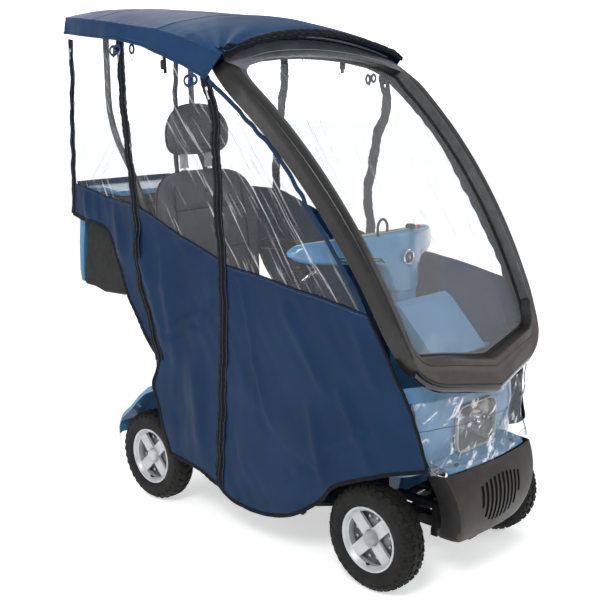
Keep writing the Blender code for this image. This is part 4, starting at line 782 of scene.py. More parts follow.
def filled(outline, step):
    """Triangles that fill an outline with points at an even spacing."""
    closed = list(outline) + [outline[0]]
    edge = spaced(np.asarray(closed, float), step)[:-1]
    low, high = edge.min(axis=0), edge.max(axis=0)
    rows = []
    for i, v in enumerate(np.arange(low[1], high[1], step * 0.866)):
        u = np.arange(low[0] + (i % 2) * step / 2, high[0], step)
        rows.append(np.column_stack([u, np.full(len(u), v)]))
    grid = np.concatenate(rows)
    grid = grid[inside(grid, edge)]
    d, _ = near_line(grid[:, 0], grid[:, 1], np.vstack([edge, edge[:1]]))
    grid = grid[d > step * 0.5]
    points = np.concatenate([edge, grid])
    ring = list(range(len(edge)))
    out = delaunay_2d_cdt([Vector(p) for p in points], [], [ring], 1, 1e-7)
    return np.array([tuple(p) for p in out[0]]), [tuple(f) for f in out[2]]


def cloth_panel(name, side, outline, look, step, thick, vinyl=False, off=0.0):
    """One curtain panel with its folds."""
    flat, faces = filled(outline, step)
    front = cloth_points(side, flat, off + thick / 2, vinyl)
    back = cloth_points(side, flat, off - thick / 2, vinyl)
    count = len(flat)
    all_faces = list(faces) + [tuple(count + k for k in reversed(f)) for f in faces]
    seen = {}
    for f in faces:
        for a, b in zip(f, f[1:] + f[:1]):
            seen[(a, b)] = True
    for a, b in list(seen):
        if (b, a) not in seen:
            all_faces.append((b, a, count + a, count + b))
    return add_mesh(name, np.concatenate([front, back]), all_faces, look, "chassis", 60.0)


def seam_path(side, line, off, step=0.01, wander=0.0):
    """A seam that follows the curtain."""
    flat = spaced(smooth_path(line, 6), step)
    if wander:
        s = np.arange(len(flat)) * step
        flat = flat + np.column_stack([wander * np.sin(s * 31 + 1) + wander * 0.6 * np.sin(s * 67), 0 * s])
    return cloth_points(side, flat, off)


def zipper(name, side, line, word, width=0.044):
    """A zip: tape, coil, stitches, slider and pull."""
    normal = (side, 0.0, 0.0)
    wave = seam_path(side, line, 0.0022, 0.008, 0.0024)
    widths = width * (1 + 0.06 * np.sin(np.arange(len(wave)) * 0.55) + 0.04
                      * np.sin(np.arange(len(wave)) * 1.31))
    tape = band(f"{name}_tape_{word}", wave, normal, widths, 0.0024, BINDING)
    core = spaced(wave, 0.0025) + np.array(normal) * 0.0018
    ripple = 0.0026 + 0.0007 * np.sin(np.arange(len(core)) * math.pi * 0.9)
    coil = tube(f"{name}_coil_{word}", core, ripple, COIL, 8)
    at = core[min(14, len(core) - 2)]
    along = core[min(16, len(core) - 1)] - at
    along = along / np.linalg.norm(along)
    body = band(f"{name}_slider_{word}", [at, at + along * 0.006, at + along * 0.013], normal,
                (0.01, 0.012, 0.008),
                0.007, CHROME)
    pull = band(f"{name}_pull_{word}", [at + along * 0.01 + np.array(normal) * 0.004,
                                        at + along * 0.022 + np.array(normal) * 0.0045,
                                        at + along * 0.04 + np.array(normal) * 0.003], normal,
                (0.005, 0.007, 0.008), 0.0018, CHROME)
    stitches = []
    for k in (-1, 1):
        _, _, across = frames(wave, False, normal)
        row = wave + across * (k * width * 0.38) + np.array(normal) * 0.0013
        stitches.append(tube(f"{name}_stitch_{word}_{'a' if k < 0 else 'b'}", row, 0.0005, THREAD, 5))
    return [tape, coil, body, pull, *stitches]


def side_curtains():
    """Both side curtains: cloth below, clear windows above, zips and bindings."""
    for side, word in SIDES:
        tuck = 0.0 if side < 0 else 0.075
        panels = {
            "rear": outline_of(SILL_REAR, CORNER_LOW, REAR_HIGH, ZIP_A_LOW),
            "door": outline_of(SILL_MID, ZIP_B_LOW, HEM_MID, REAR_LOW, ZIP_A_LOW),
            "front": outline_of(SILL_FRONT, front_low(tuck), hem_front(tuck), ZIP_B_LOW),
        }
        windows = {
            "rear": outline_of(SILL_REAR, CORNER_HIGH, TOP_REAR, ZIP_A_HIGH),
            "door": outline_of(SILL_MID, ZIP_B_HIGH, TOP_MID, ZIP_A_HIGH),
            "front": outline_of(SILL_FRONT, FRONT_HIGH, ZIP_B_HIGH),
        }
        trim = []
        trim += zipper("zip_rear_of_door", side, ZIP_A, word)
        trim += zipper("zip_front_of_door", side, ZIP_B, word)
        corner = [(y - 0.012, z) for y, z in CORNER]
        trim += zipper("zip_rear_corner", side, corner, word, 0.032)
        normal = (side, 0.0, 0.0)
        for name, line, width in (
            ("binding_rear_edge", REAR_HIGH, 0.016),
            ("binding_lower_rear", REAR_LOW, 0.014),
            ("binding_hem_door", HEM_MID, 0.014),
            ("binding_hem_front", hem_front(tuck), 0.013),
            ("binding_front_edge", front_low(tuck), 0.01),
        ):
            trim.append(band(f"{name}_{word}", seam_path(side, line, 0.0, 0.012), normal, width, 0.0052,
                             BINDING))
        for name, line in (("rear", SILL_REAR), ("door", SILL_MID), ("front", SILL_FRONT)):
            path = seam_path(side, line, 0.0018, 0.012)
            trim.append(tube(f"sill_piping_{name}_{word}", path, 0.0019, BINDING, 8))
            lower = [(y, z - 0.01) for y, z in line]
            trim.append(tube(f"sill_stitch_{name}_{word}", seam_path(side, lower, 0.0012, 0.012), 0.0006,
                             THREAD, 5))
        line = [(y + 0.012, z) for y, z in FRONT_HIGH[:-1]]
        flat = spaced(smooth_path(line, 6), 0.006)
        flat[:, 0] += 0.004 * np.sin(np.arange(len(flat)) * 0.55) * (0.5 + 0.5
                                                                     * np.sin(np.arange(len(flat)) * 0.13))
        trim.append(band(f"pillar_strip_{word}", cloth_points(side, flat, 0.0015), normal, 0.016, 0.003,
                         NAVY))
        for name, outline in panels.items():
            cloth = cloth_panel(f"curtain_cloth_{name}_{word}", side, outline, NAVY, 0.011, 0.0014)
            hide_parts(f"side_curtain_{word}")
        for name, outline in windows.items():
            clear_panel = cloth_panel(f"curtain_window_{name}_{word}", side, outline, VINYL, 0.022, 0.0006,
                                      True)
            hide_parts(f"side_curtain_{word}")


def split_line(line, at):
    """A line cut in two where its height reaches a value, from the top down."""
    high, low = [], []
    for a, b in zip(line[:-1], line[1:]):
        (high if a[1] > at else low).append(a)
        if a[1] > at >= b[1]:
            t = (a[1] - at) / (a[1] - b[1])
            cut = (a[0] + t * (b[0] - a[0]), at)
            high.append(cut)
            low.append(cut)
    low.append(line[-1])
    return high, low


ZIP_A_HIGH, ZIP_A_LOW = split_line(ZIP_A, 1.1)
ZIP_B_HIGH, ZIP_B_LOW = split_line(ZIP_B, 0.955)
CORNER_HIGH, CORNER_LOW = split_line(CORNER, 1.139)
SILL_REAR[0], SILL_REAR[-1], SILL_MID[0] = CORNER_LOW[0], ZIP_A_LOW[0], ZIP_A_LOW[0]
SILL_MID[-1], SILL_FRONT[0] = ZIP_B_LOW[0], ZIP_B_LOW[0]
HEM_END = ZIP_B_LOW[-1]
HEM_MID[0] = HEM_END

side_curtains()

# ---------------------------------------------------------------- roof


def roof_point(u, y):
    """A point on the roof, u from -1 to 1 across it."""
    wide = roof_half_width(min(y, 0.931))
    power = float(np.interp(y, (-0.17, 0.1, 0.5), (2.0, 2.1, 2.6)))
    x = u * wide
    z = roof_edge_z(y) + (roof_crown_z(y) - roof_edge_z(y)) * (1 - abs(u) ** power)
    ahead = y + 0.17
    side_gap = wide - abs(x)
    d = math.hypot(ahead, side_gap)
    angle = math.atan2(ahead, side_gap + 1e-6)
    z += 0.0095 * math.exp(-d / 0.13) * math.sin(angle * 15 + 0.6) * min(1.0, d / 0.02)
    z += 0.0012 * math.exp(-ahead / 0.05) * math.sin(x * 88 + 2 * math.sin(x * 13))
    z += 0.0009 * math.exp(-side_gap / 0.03) * math.sin(y * 118 + 2 * math.sin(y * 15))
    z -= 0.004 * math.sin(math.pi * np.clip((y + 0.1) / 0.845, 0, 1)) ** 2 * (1 - u * u)
    z += 0.0016 * math.exp(-(((y - 0.745) / 0.014) ** 2))
    z += 0.0012 * math.sin(7 * x + 5 * y) + 0.0009 * math.sin(13 * x - 9 * y + 1.0)
    return x, y, z


def roof():
    """Blue fabric roof: the stretched top and the hanging valance in one piece, with seams and binding."""
    places = [(y, 0.0) for y in np.linspace(-0.17, 0.931, 120)] + [(0.931, d)
                                                                    for d in (0.2, 0.4, 0.6, 0.8, 1.0)]
    falls = [1.0, 0.92, 0.84, 0.76, 0.68, 0.6, 0.52, 0.44, 0.36, 0.28, 0.2, 0.12, 0.05]
    across = list(np.sin(np.linspace(-math.pi / 2, math.pi / 2, 91)))
    grid, hems, creases = [], {1: [], -1: []}, {1: [], -1: []}
    for y, drop in places:
        row = []
        for k in (-1, 1):
            part = []
            x, _, z = roof_point(float(k), y)
            for fall in falls:
                swing = fall * (0.0028 * math.sin(y * 21 + k) + 0.0013 * math.sin(y * 57 + 2 * k))
                near = float(ease((0.12 - y) / 0.29))
                back = y + 0.071 * fall * near
                drop_z = z + (roof_hem_z(back) - z) * fall
                fan = math.atan2(1.64 - drop_z, back + 0.215)
                swing += 0.005 * near * fall * math.sin(19 * fan) * math.exp(-abs(back + 0.17) / 0.13)
                part.append([x * (1 + 0.002 * fall) + k * swing, back, drop_z])
            if k < 0:
                left = part
            else:
                right = part[::-1]
        top = [list(roof_point(u, y)) for u in across]
        row = left + top + right
        if drop:
            low = 1.711
            for p in row:
                p[2] = p[2] + (min(low, p[2]) - p[2]) * drop
                p[1] = 0.931 + 0.017 * math.sin(drop * math.pi / 2) + 0.002 * math.sin(p[0] * 30) * drop
        else:
            hems[-1].append(row[0])
            hems[1].append(row[-1])
            creases[-1].append(top[0])
            creases[1].append(top[-1])
        grid.append(row)
    grid = np.array(grid)
    canopy = sheet_grid("roof_canopy_cloth", grid, 0.0022, ROOF, crease=50.0)
    canopy.data.materials.append(VALANCE)
    # faces below the side crease and at the back take the darker copy: painted shade on the hanging valance
    for polygon in canopy.data.polygons:
        c = polygon.center
        if c[2] < roof_edge_z(c[1]) - 0.004 or c[1] > 0.934:
            polygon.material_index = 1
    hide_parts("roof_canopy")
    for side, word in SIDES:
        crease = np.array(creases[side]) + np.array((side * 0.0012, 0, 0.0006))
        tube(f"roof_edge_piping_{word}", crease, 0.0022, VALANCE, 8)
        hem = np.array(hems[side]) + np.array((side * 0.0006, 0, 0.004))
        band(f"valance_hem_{word}", hem, (side, 0, 0), 0.01, 0.0048, VALANCE)
        stitch = np.array(hems[side]) + np.array((side * 0.0016, 0, 0.013))
        tube(f"valance_stitch_{word}", stitch, 0.0005, THREAD, 5)
        for n, y in enumerate((0.156, 0.6)):
            seam = [roof_point(side * u, y) for u in np.linspace(1.0, 0.0, 30)]
            tube(f"roof_seam_{word}_{n}", np.array(seam) + (0, 0, 0.0013), 0.0009, VALANCE, 6)
    rear = [[u * 0.252, 0.9505, 1.716] for u in np.linspace(-1, 1, 40)]
    band("valance_hem_rear", rear, (0, 1, 0), 0.01, 0.0048, VALANCE)
    ruffle = []
    for x in np.linspace(-0.428, 0.428, 330):
        u = x / 0.434
        line = []
        for t, y, down in ((0, -0.142, -0.003), (0.2, -0.154, -0.0032), (0.4, -0.166, -0.0018),
                           (0.55, -0.1735, 0.003),
                           (0.7, -0.1755, 0.006), (0.85, -0.1745, 0.009), (1.0, -0.171, 0.011)):
            _, _, z = roof_point(u, y)
            wave = math.sin(x * 210 + 4.2 * math.sin(x * 23)) * (0.0002 + 0.0008 * t) * (0.6 + 0.4
                    * math.sin(x * 41))
            line.append((x, y - wave, z - down + 0.0006 * math.sin(x * 190)))
        ruffle.append(line)
    sheet_grid("roof_front_ruffle", ruffle, 0.0016, BINDING)


roof()


def rear_curtain():
    """The rear curtain: a clear window above a strip of cloth."""
    def at(u, z):
        y = float(np.interp(z, (1.016, 1.155, 1.3, 1.52, 1.7), (0.953, 0.947, 0.944, 0.932, 0.924)))
        y -= 0.01 * u**4
        y += 0.0015 * math.sin(9 * u + 12 * z) + 0.001 * math.sin(23 * z - 4 * u)
        return y

    for name, low, high, rows, look, thick in (("rear_curtain_cloth", 1.016, 1.142, 14, NAVY, 0.0016),
                                               ("rear_curtain_window", 1.142, 1.7, 40, REAR_VINYL, 0.0006)):
        grid = []
        for z in np.linspace(low, high, rows):
            row = []
            for u in np.linspace(-1, 1, 48):
                fold = 0.0015 * math.exp(-(z - low) / 0.03) * math.sin(u * 60) if look is NAVY else 0.0
                row.append((0.236 * u, at(u, z) + fold, z))
            grid.append(row)
        panel = sheet_grid(name, grid, thick, look)
        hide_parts("rear_curtain")
        if look is NAVY:
            line = [(0.236 * u, at(u, 1.142) + 0.002, 1.142) for u in np.linspace(-1, 1, 48)]
            tube("rear_sill_piping", line, 0.0019, BINDING, 8)
            line = [(0.236 * u, at(u, 1.018), 1.019) for u in np.linspace(-1, 1, 48)]
            band("rear_hem_binding", line, (0, 1, 0), 0.014, 0.0052, BINDING)


rear_curtain()

# ---------------------------------------------------------------- straps under the valance


def loop_strap(name, side, y, z, width, length, spread, look):
    """A soft loop of webbing that hangs against the curtain."""
    x = side * (float(cabin_width([y], [z])[0]) + 0.01)
    path = []
    for i in range(17):
        a = 2 * math.pi * i / 16
        path.append((x + side * 0.004 * math.sin(a), y + spread * math.sin(a),
                     z - length / 2 + length / 2 * math.cos(a)))
    path = smooth_path(path[:-1], 2, True)
    middle = path.mean(axis=0)
    normal = path - middle
    normal[:, 0] = 0.15 * side
    return band(name, path, normal, width, 0.0016, look, closed=True)


def straps():
    """Bows, rings and buckles that hold rolled curtains under the valance."""
    for side, word in SIDES:
        made = []
        for n, (y, z) in enumerate(((0.42, 1.648), (-0.02, 1.545))):
            made.append(loop_strap(f"bow_loop_{word}_{n}a", side, y + 0.013, z, 0.01, 0.03, 0.012, STRAP))
            made.append(loop_strap(f"bow_loop_{word}_{n}b", side, y - 0.014, z + 0.002, 0.01, 0.026, 0.013,
                                   STRAP))
            x = side * (float(cabin_width([y], [z])[0]) + 0.011)
            tail = [(x, y, z), (x + side * 0.002, y + 0.004, z - 0.018), (x, y + 0.008, z - 0.038)]
            made.append(band(f"bow_tail_{word}_{n}", smooth_path(tail, 4), (side, 0, 0), 0.009, 0.0015,
                             STRAP))
        made.append(loop_strap(f"ring_loop_{word}", side, 0.305, 1.65, 0.009, 0.028, 0.006, BINDING))
        y, z = 0.305, 1.612
        x = side * (float(cabin_width([y], [z])[0]) + 0.01)
        ring = [(x, y + 0.009 * math.cos(a), z + 0.011 * math.sin(a))
                for a in np.linspace(0, 2 * math.pi, 25)[:-1]]
        made.append(tube(f"strap_ring_{word}", ring, 0.0016, CHROME, 8, True))
        y, z = 0.12, 1.59
        x = side * (float(cabin_width([y], [z])[0]) + 0.008)
        drop = [(x, y, 1.616), (x, y - 0.004, z), (x, y - 0.006, z - 0.036)]
        made.append(band(f"buckle_strap_{word}", smooth_path(drop, 4), (side, 0, 0), 0.016, 0.0018, BINDING))
        low, high = sorted((x + side * 0.001, x + side * 0.008))
        made.append(prism(f"buckle_{word}", rounded(0.024, 0.03, 0.005, 3, (y - 0.003, z - 0.008)), "yz",
                          low, high,
                          PLASTIC, 0.0015))


straps()

# ---------------------------------------------------------------- windscreen


def screen_stations():
    """Half the windscreen frame, sill to header: outer edge, inner edge and depth direction."""
    right = []
    for z in (0.842, 0.9, 0.97, 1.05, 1.14, 1.23, 1.31, 1.39, 1.46, 1.52):
        y = screen_y(z)
        slope = (z - SCREEN_ARC[1]) / (SCREEN_ARC[0] - y)
        back = np.array([0.0, 1.0, -slope])
        z2 = z + 0.014 * max(0.0, 1 - (z - 0.842) / 0.3)
        right.append(((-(0.338 + 0.115 * (z - 0.781)), y, z),
                      (-(0.31 + 0.09 * (z2 - 0.793)), screen_y(z2), z2),
                      back / np.linalg.norm(back)))
    header = [
        ((-0.414, -0.172, 1.577), (-0.374, -0.222, 1.551), (0.0, 0.9, -0.43)),
        ((-0.395, -0.14, 1.6), (-0.345, -0.195, 1.568), (0.0, 0.94, -0.33)),
        ((-0.35, -0.112, 1.624), (-0.3, -0.175, 1.583), (0.0, 0.97, -0.25)),
        ((-0.235, -0.088, 1.652), (-0.2, -0.152, 1.6), (0.0, 0.98, -0.2)),
        ((-0.12, -0.076, 1.667), (-0.1, -0.14, 1.608), (0.0, 0.98, -0.2)),
        ((0.0, -0.072, 1.672), (0.0, -0.136, 1.611), (0.0, 0.98, -0.2)),
    ]
    sill = [
        ((0.0, -0.916, 0.632), (0.0, -0.891, 0.702), (0.0, 0.98, 0.17)),
        ((-0.066, -0.905, 0.642), (-0.097, -0.878, 0.719), (0.02, 0.98, 0.14)),
        ((-0.131, -0.892, 0.653), (-0.194, -0.865, 0.738), (0.04, 0.98, 0.1)),
        ((-0.2, -0.881, 0.664), (-0.245, -0.853, 0.744), (0.08, 0.98, 0.06)),
        ((-0.255, -0.872, 0.678), (-0.281, -0.838, 0.752), (0.14, 0.98, 0.0)),
        ((-0.3, -0.855, 0.706), (-0.303, -0.825, 0.775), (0.16, 0.97, -0.12)),
        ((-0.326, -0.836, 0.748), (-0.314, -0.807, 0.815), (0.1, 0.94, -0.28)),
    ]
    return [tuple(np.array(v, float) for v in station) for station in sill + right + header]


def fine_stations(steps=5):
    """The whole frame at close stations, with the outward direction."""
    half = screen_stations()
    columns = []
    for k in range(3):
        right = smooth_path([s[k] for s in half], steps)
        left = (right * np.array([-1.0, 1.0, 1.0]))[::-1][1:-1]
        columns.append(np.concatenate([right, left]))
    stations = []
    for outer, inner, back in zip(*columns):
        back = back / np.linalg.norm(back)
        out = outer - inner
        out = out - back * np.dot(out, back)
        stations.append((outer, inner, out / np.linalg.norm(out), back))
    return stations, steps


def windscreen():
    """The curved windscreen: frame, header, sill and pane."""
    stations, steps = fine_stations()
    rings = []
    for outer, inner, out, back in stations:
        face = outer - inner
        rings.append([
            outer - face * 0.1,
            outer - out * 0.0015 + back * 0.0008,
            outer + out * 0.001 + back * 0.004,
            outer + out * 0.006 + back * 0.03,
            outer + out * FRAME_FLARE + back * (FRAME_DEPTH - 0.006),
            outer + out * (FRAME_FLARE - 0.006) + back * FRAME_DEPTH,
            inner + out * 0.0145 + back * FRAME_DEPTH,
            inner + out * 0.0145 + back * SEAL_START,
            inner + back * SEAL_START,
            inner + back * 0.004,
            inner + out * 0.0012 + back * 0.0008,
            inner + face * 0.12,
            inner + face * 0.26,
            inner + face * 0.29 + back * 0.0022,
            inner + face * 0.32,
            inner + face * 0.6 - back * 0.0012,
        ])
    ring = loft("windscreen_surround", rings, SATIN, closed=True, crease=38.0)
    for look in (SILL, HEADER, PILLAR_EDGE):
        ring.data.materials.append(look)
    per = 16
    for index, polygon in enumerate(ring.data.polygons):
        station, slot = divmod(index, per)
        outer = stations[station][0]
        face = slot in (0, 10, 11, 12, 13, 14, 15)
        if outer[2] < 0.745 and slot in (0, 10, 11, 12, 13, 14, 15, 9):
            polygon.material_index = 1
        # header faces take the pale copy: painted top light on the inclined header
        elif outer[2] > 1.585 and face:
            polygon.material_index = 2
        # the pillars' inner edge faces take the lighter grey: a painted edge highlight
        elif slot in (8, 9, 10, 11, 12) and 0.8 < outer[2] <= 1.585:
            polygon.material_index = 3
    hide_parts("windscreen_frame")
    header = [s for s in stations if s[0][2] > 1.6]
    order = sorted(header, key=lambda s: s[0][0])
    ridge = [s[0] + s[2] * 0.002 for s in order]
    # the ridge takes the pale copy too: painted light on its top
    tube("header_ridge", spaced(ridge, 0.01), 0.0035, HEADER, 10)
    # a glossy black strip lies where the groove is: painted shade standing in for the dark recess
    groove = [s[0] - (s[0] - s[1]) * 0.14 - s[3] * 0.0004 for s in order]
    band("header_groove", spaced(groove, 0.01), (0.0, -0.75, 0.65), 0.0065, 0.0022, PIANO)
    sill = sorted([s for s in stations if s[0][2] < 0.73], key=lambda s: s[0][0])
    for name, first, second, look in (
        ("sill_lower_bevel", (0.0, 0.0), (0.003, -0.011), SATIN),
        ("sill_gloss_band", (0.003, -0.011), (0.012, -0.03), PIANO),
    ):
        rows = []
        for t in np.linspace(0, 1, 6):
            dy = first[0] + (second[0] - first[0]) * t - 0.0025 * math.sin(math.pi * t)
            dz = first[1] + (second[1] - first[1]) * t
            rows.append([(s[0][0] * (1 - 0.02 * t), s[0][1] + dy + 0.02 * abs(s[0][0]), s[0][2] + dz)
                         for s in sill])
        sheet_grid(name, rows, 0.003, look)
    soften(frame["nodes"]["windscreen_seal"], 0.0006, 1)
    lines = np.array([s[1] - s[2] * (0.0035 if s[1][2] < 1.5 else 0.006) + s[3] * 0.042 for s in stations])
    half = lines[: (len(lines) + 2) // 2]
    corner = 4 * steps
    shoulder = len(half) - 1 - 4 * steps
    mirror = np.array([-1.0, 1.0, 1.0])
    bottom = np.concatenate([half[: corner + 1][::-1], half[1 : corner + 1] * mirror])
    top = np.concatenate([half[shoulder:], (half[shoulder:-1] * mirror)[::-1]])
    start = half[corner : shoulder + 1]
    grid = fill_patch(bottom, top, start, start * mirror, 44, 36)
    pane = sheet_grid("windscreen_pane", grid, 0.004, GLASS)
    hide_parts("windscreen_glass")


def fill_patch(bottom, top, start, end, rows, cols):
    """A grid of points between four edges."""
    bottom, top = resample(bottom, cols), resample(top, cols)
    start, end = resample(start, rows), resample(end, rows)
    v = np.linspace(0.0, 1.0, rows)[:, None, None]
    u = np.linspace(0.0, 1.0, cols)[None, :, None]
    corners = (1 - u) * (1 - v) * bottom[0] + u * (1 - v) * bottom[-1] + (1
            - u) * v * top[0] + u * v * top[-1]
    return (1 - u) * start[:, None] + u * end[:, None] + (1 - v) * bottom[None] + v * top[None] - corners


windscreen()

# ---------------------------------------------------------------- nose


def shroud_outline(z):
    """Half outline of the nose at a height."""
    t = (z - 0.365) / 0.29
    corner, front = 0.315 + 0.02 * t, -0.822 + 0.01 * abs(2 * t - 1)
    return [(0.0, front), (0.1, front + 0.003), (0.19, front + 0.012), (0.255, front + 0.034),
            (corner - 0.018, front + 0.075), (corner + 0.004, front + 0.13), (corner + 0.01, front + 0.21),
            (corner + 0.008, -0.545), (corner + 0.004, -0.505)]


def bumper_y(x, z):
    """Front face of the bumper."""
    return -0.93 + 0.44 * x**2 + 2.6 * (z - 0.28) ** 2


def nose():
    """The blue nose and the headlight set into it."""
    grid = []
    for z in np.concatenate([[0.366, 0.37, 0.378], np.linspace(0.39, 0.645, 22)]):
        line = shroud_outline(z)
        lift = 0.014 * max(0.0, 1 - (z - 0.366) / 0.02) ** 2
        full = smooth_path([(-x, y, z) for x, y in reversed(line[1:])] + [(x, y, z) for x, y in line], 5)
        grid.append([(x * (1 - lift), y + lift * 0.8, z) for x, y, _ in full])
    panel = sheet_grid("nose_panel", grid, 0.004, BLUE)
    carve(panel, [prism("cutter", rounded(0.206, 0.152, 0.036, 6, (0.0, HEADLIGHT_Z)), "xz", -0.9, -0.76,
                        BLUE, body=None)])
    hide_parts("front_shroud")
    line = np.array(smooth_path([(x, y, 0.402) for x, y in shroud_outline(0.402)], 5))
    foot = []
    for t in np.linspace(0, 1, 10):
        row = []
        for x in np.linspace(-0.2, 0.2, 41):
            start = float(np.interp(abs(x), line[:, 0], line[:, 1])) + 0.004
            end = bumper_y(x, BUMPER_TOP_Z) + 0.012
            row.append((x, start + (end - start) * math.sin(t * math.pi / 2),
                        0.404 - 0.022 * (1 - math.cos(t * math.pi / 2))))
        foot.append(row)
    sheet_grid("nose_foot", foot, 0.003, BLUE)
    # the rim is drawn silver as a painted highlight: a bright ring for the light caught on the lamp's clear
    # edge
    rim = []
    for amount, y in ((0.0, -0.83), (-0.0012, -0.832), (0.0, -0.8335), (0.0018, -0.8338),
                      (0.003, -0.832),
                      (0.003, -0.822), (0.001, -0.82)):
        rim.append(placed(inset(rounded(0.202, 0.148, 0.034, 6, (0.0, HEADLIGHT_Z)), amount), "xz", y))
    loft("headlight_rim", rim, ALLOY, closed=True)
    outer = rounded(0.2, 0.146, 0.033, 6, (0.0, HEADLIGHT_Z))
    rings, count = [], len(outer)
    for n, (amount, y) in enumerate(((0.0, -0.83), (0.004, -0.812), (0.018, -0.79), (0.034, -0.768),
                                     (0.05, -0.756), (0.064, -0.752))):
        ring = placed(inset(outer, amount * 0.6), "xz", y)
        middle = np.array((0.0, y, HEADLIGHT_Z))
        share = 1 - amount / 0.075
        ring = middle + (placed(outer, "xz", y) - middle) * share
        ring[:, 1] += [0.006 * ((j + n) % 2) if 0 < n < 5 else 0.0 for j in range(count)]
        rings.append(ring)
    back = [r + (0.0, 0.004, 0.0) for r in rings[::-1]]
    bowl = loft("headlight_bowl", rings + back, LAMP, closed=True, crease=8.0)
    points = [tuple(p) for p in rings[-1]] + [(0.0, -0.75, HEADLIGHT_Z)]
    faces = [(j, (j + 1) % count, count) for j in range(count)]
    under = [(x, y + 0.004, z) for x, y, z in points]
    faces += [tuple(count + 1 + k for k in reversed(f)) for f in faces]
    faces += [((j + 1) % count, j, count + 1 + j, count + 1 + (j + 1) % count) for j in range(count)]
    add_mesh("headlight_bowl_back", points + under, faces, LAMP)
    for x, r in ((-0.042, 0.032), (0.042, 0.032)):
        profile = ((-0.02, r), (-0.018, r + 0.002), (0.006, r * 0.72), (0.016, r * 0.42), (0.018, 0.0),
                   (0.016, 0.0),
                   (0.014, r * 0.38), (0.004, r * 0.66))
        lathe(f"headlight_reflector_{'a' if x < 0 else 'b'}", profile, CHROME, (x, -0.776, HEADLIGHT_Z), "y",
              40)
        bulb = ((-0.006, 0.0), (-0.004, 0.006), (0.004, 0.0085), (0.016, 0.0085), (0.018, 0.0))
        lathe(f"headlight_bulb_{'a' if x < 0 else 'b'}", bulb, HEADER, (x, -0.786, HEADLIGHT_Z), "y", 24,
              closed=False)
    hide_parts("headlight_housing")
    lens = []
    for amount, y in ((0.0, -0.826), (0.0, -0.833), (0.004, -0.838), (0.012, -0.8405), (0.03, -0.8435),
                      (0.05, -0.845)):
        lens.append(placed(inset(rounded(0.194, 0.14, 0.029, 6, (0.0, HEADLIGHT_Z)), amount), "xz", y))
    glass = loft("headlight_glass", lens, LENS)
    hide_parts("headlight_lens")


nose()


def bumper():
    """The front bumper with its slots."""
    grid = []
    for z in np.linspace(BUMPER_FOOT_Z, BUMPER_TOP_Z, 30):
        edge = 0.148 + 0.074 * ((z - BUMPER_FOOT_Z) / (BUMPER_TOP_Z - BUMPER_FOOT_Z)) ** 0.8
        half = [(x, bumper_y(x, z), z) for x in np.linspace(0, edge, 17)]
        last = bumper_y(edge, z)
        half += [(edge + 0.003, last + 0.0025, z), (edge + 0.006, last + 0.008, z),
                 (edge + 0.0085, last + 0.014, z),
                 (edge + 0.01, last + 0.022, z), (edge + 0.012, last + 0.036, z),
                 (edge + 0.012, last + 0.05, z),
                 (edge + 0.012, last + 0.066, z)]
        grid.append([(-x, y, z) for x, y, z in reversed(half[1:])] + half)
    guard = sheet_grid("nose_guard", grid, 0.006, BUMPER, crease=50.0)
    cuts = []
    for i in range(BUMPER_SLOTS):
        x, end = (i - (BUMPER_SLOTS - 1) / 2) * SLOT_PITCH, min(i, BUMPER_SLOTS - 1 - i)
        low = (0.262, 0.226, 0.21, 0.203, 0.2)[end]
        high = (0.333, 0.339, 0.343, 0.346, 0.348)[end]
        slot = rounded(0.0122, high - low, 0.0058, 4, (x, (low + high) / 2))
        cuts.append(prism("cutter", slot, "xz", -0.99, -0.85, PLASTIC, 0.0002, body=None))
    carve(guard, cuts)
    # faces that point sideways take the darker black plastic: painted shade on the bumper's sides and slot
    # walls
    guard.data.materials.append(PLASTIC)
    for polygon in guard.data.polygons:
        if abs(polygon.normal.x) > 0.78:
            polygon.material_index = 1
    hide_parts("front_bumper")
    rows = [[(x, bumper_y(x, z) + 0.011, z) for x in np.linspace(-0.118, 0.118, 30)]
            for z in np.linspace(0.19, 0.358, 10)]
    sheet_grid("nose_guard_mesh", rows, 0.002, PLASTIC)
    for side, word in SIDES:
        path = [(side * 0.15, -0.868, 0.4), (side * 0.146, -0.842, 0.39), (side * 0.14, -0.8, 0.37)]
        tube(f"nose_stay_{word}", smooth_path(path, 4), 0.006, STEEL, 12)


bumper()


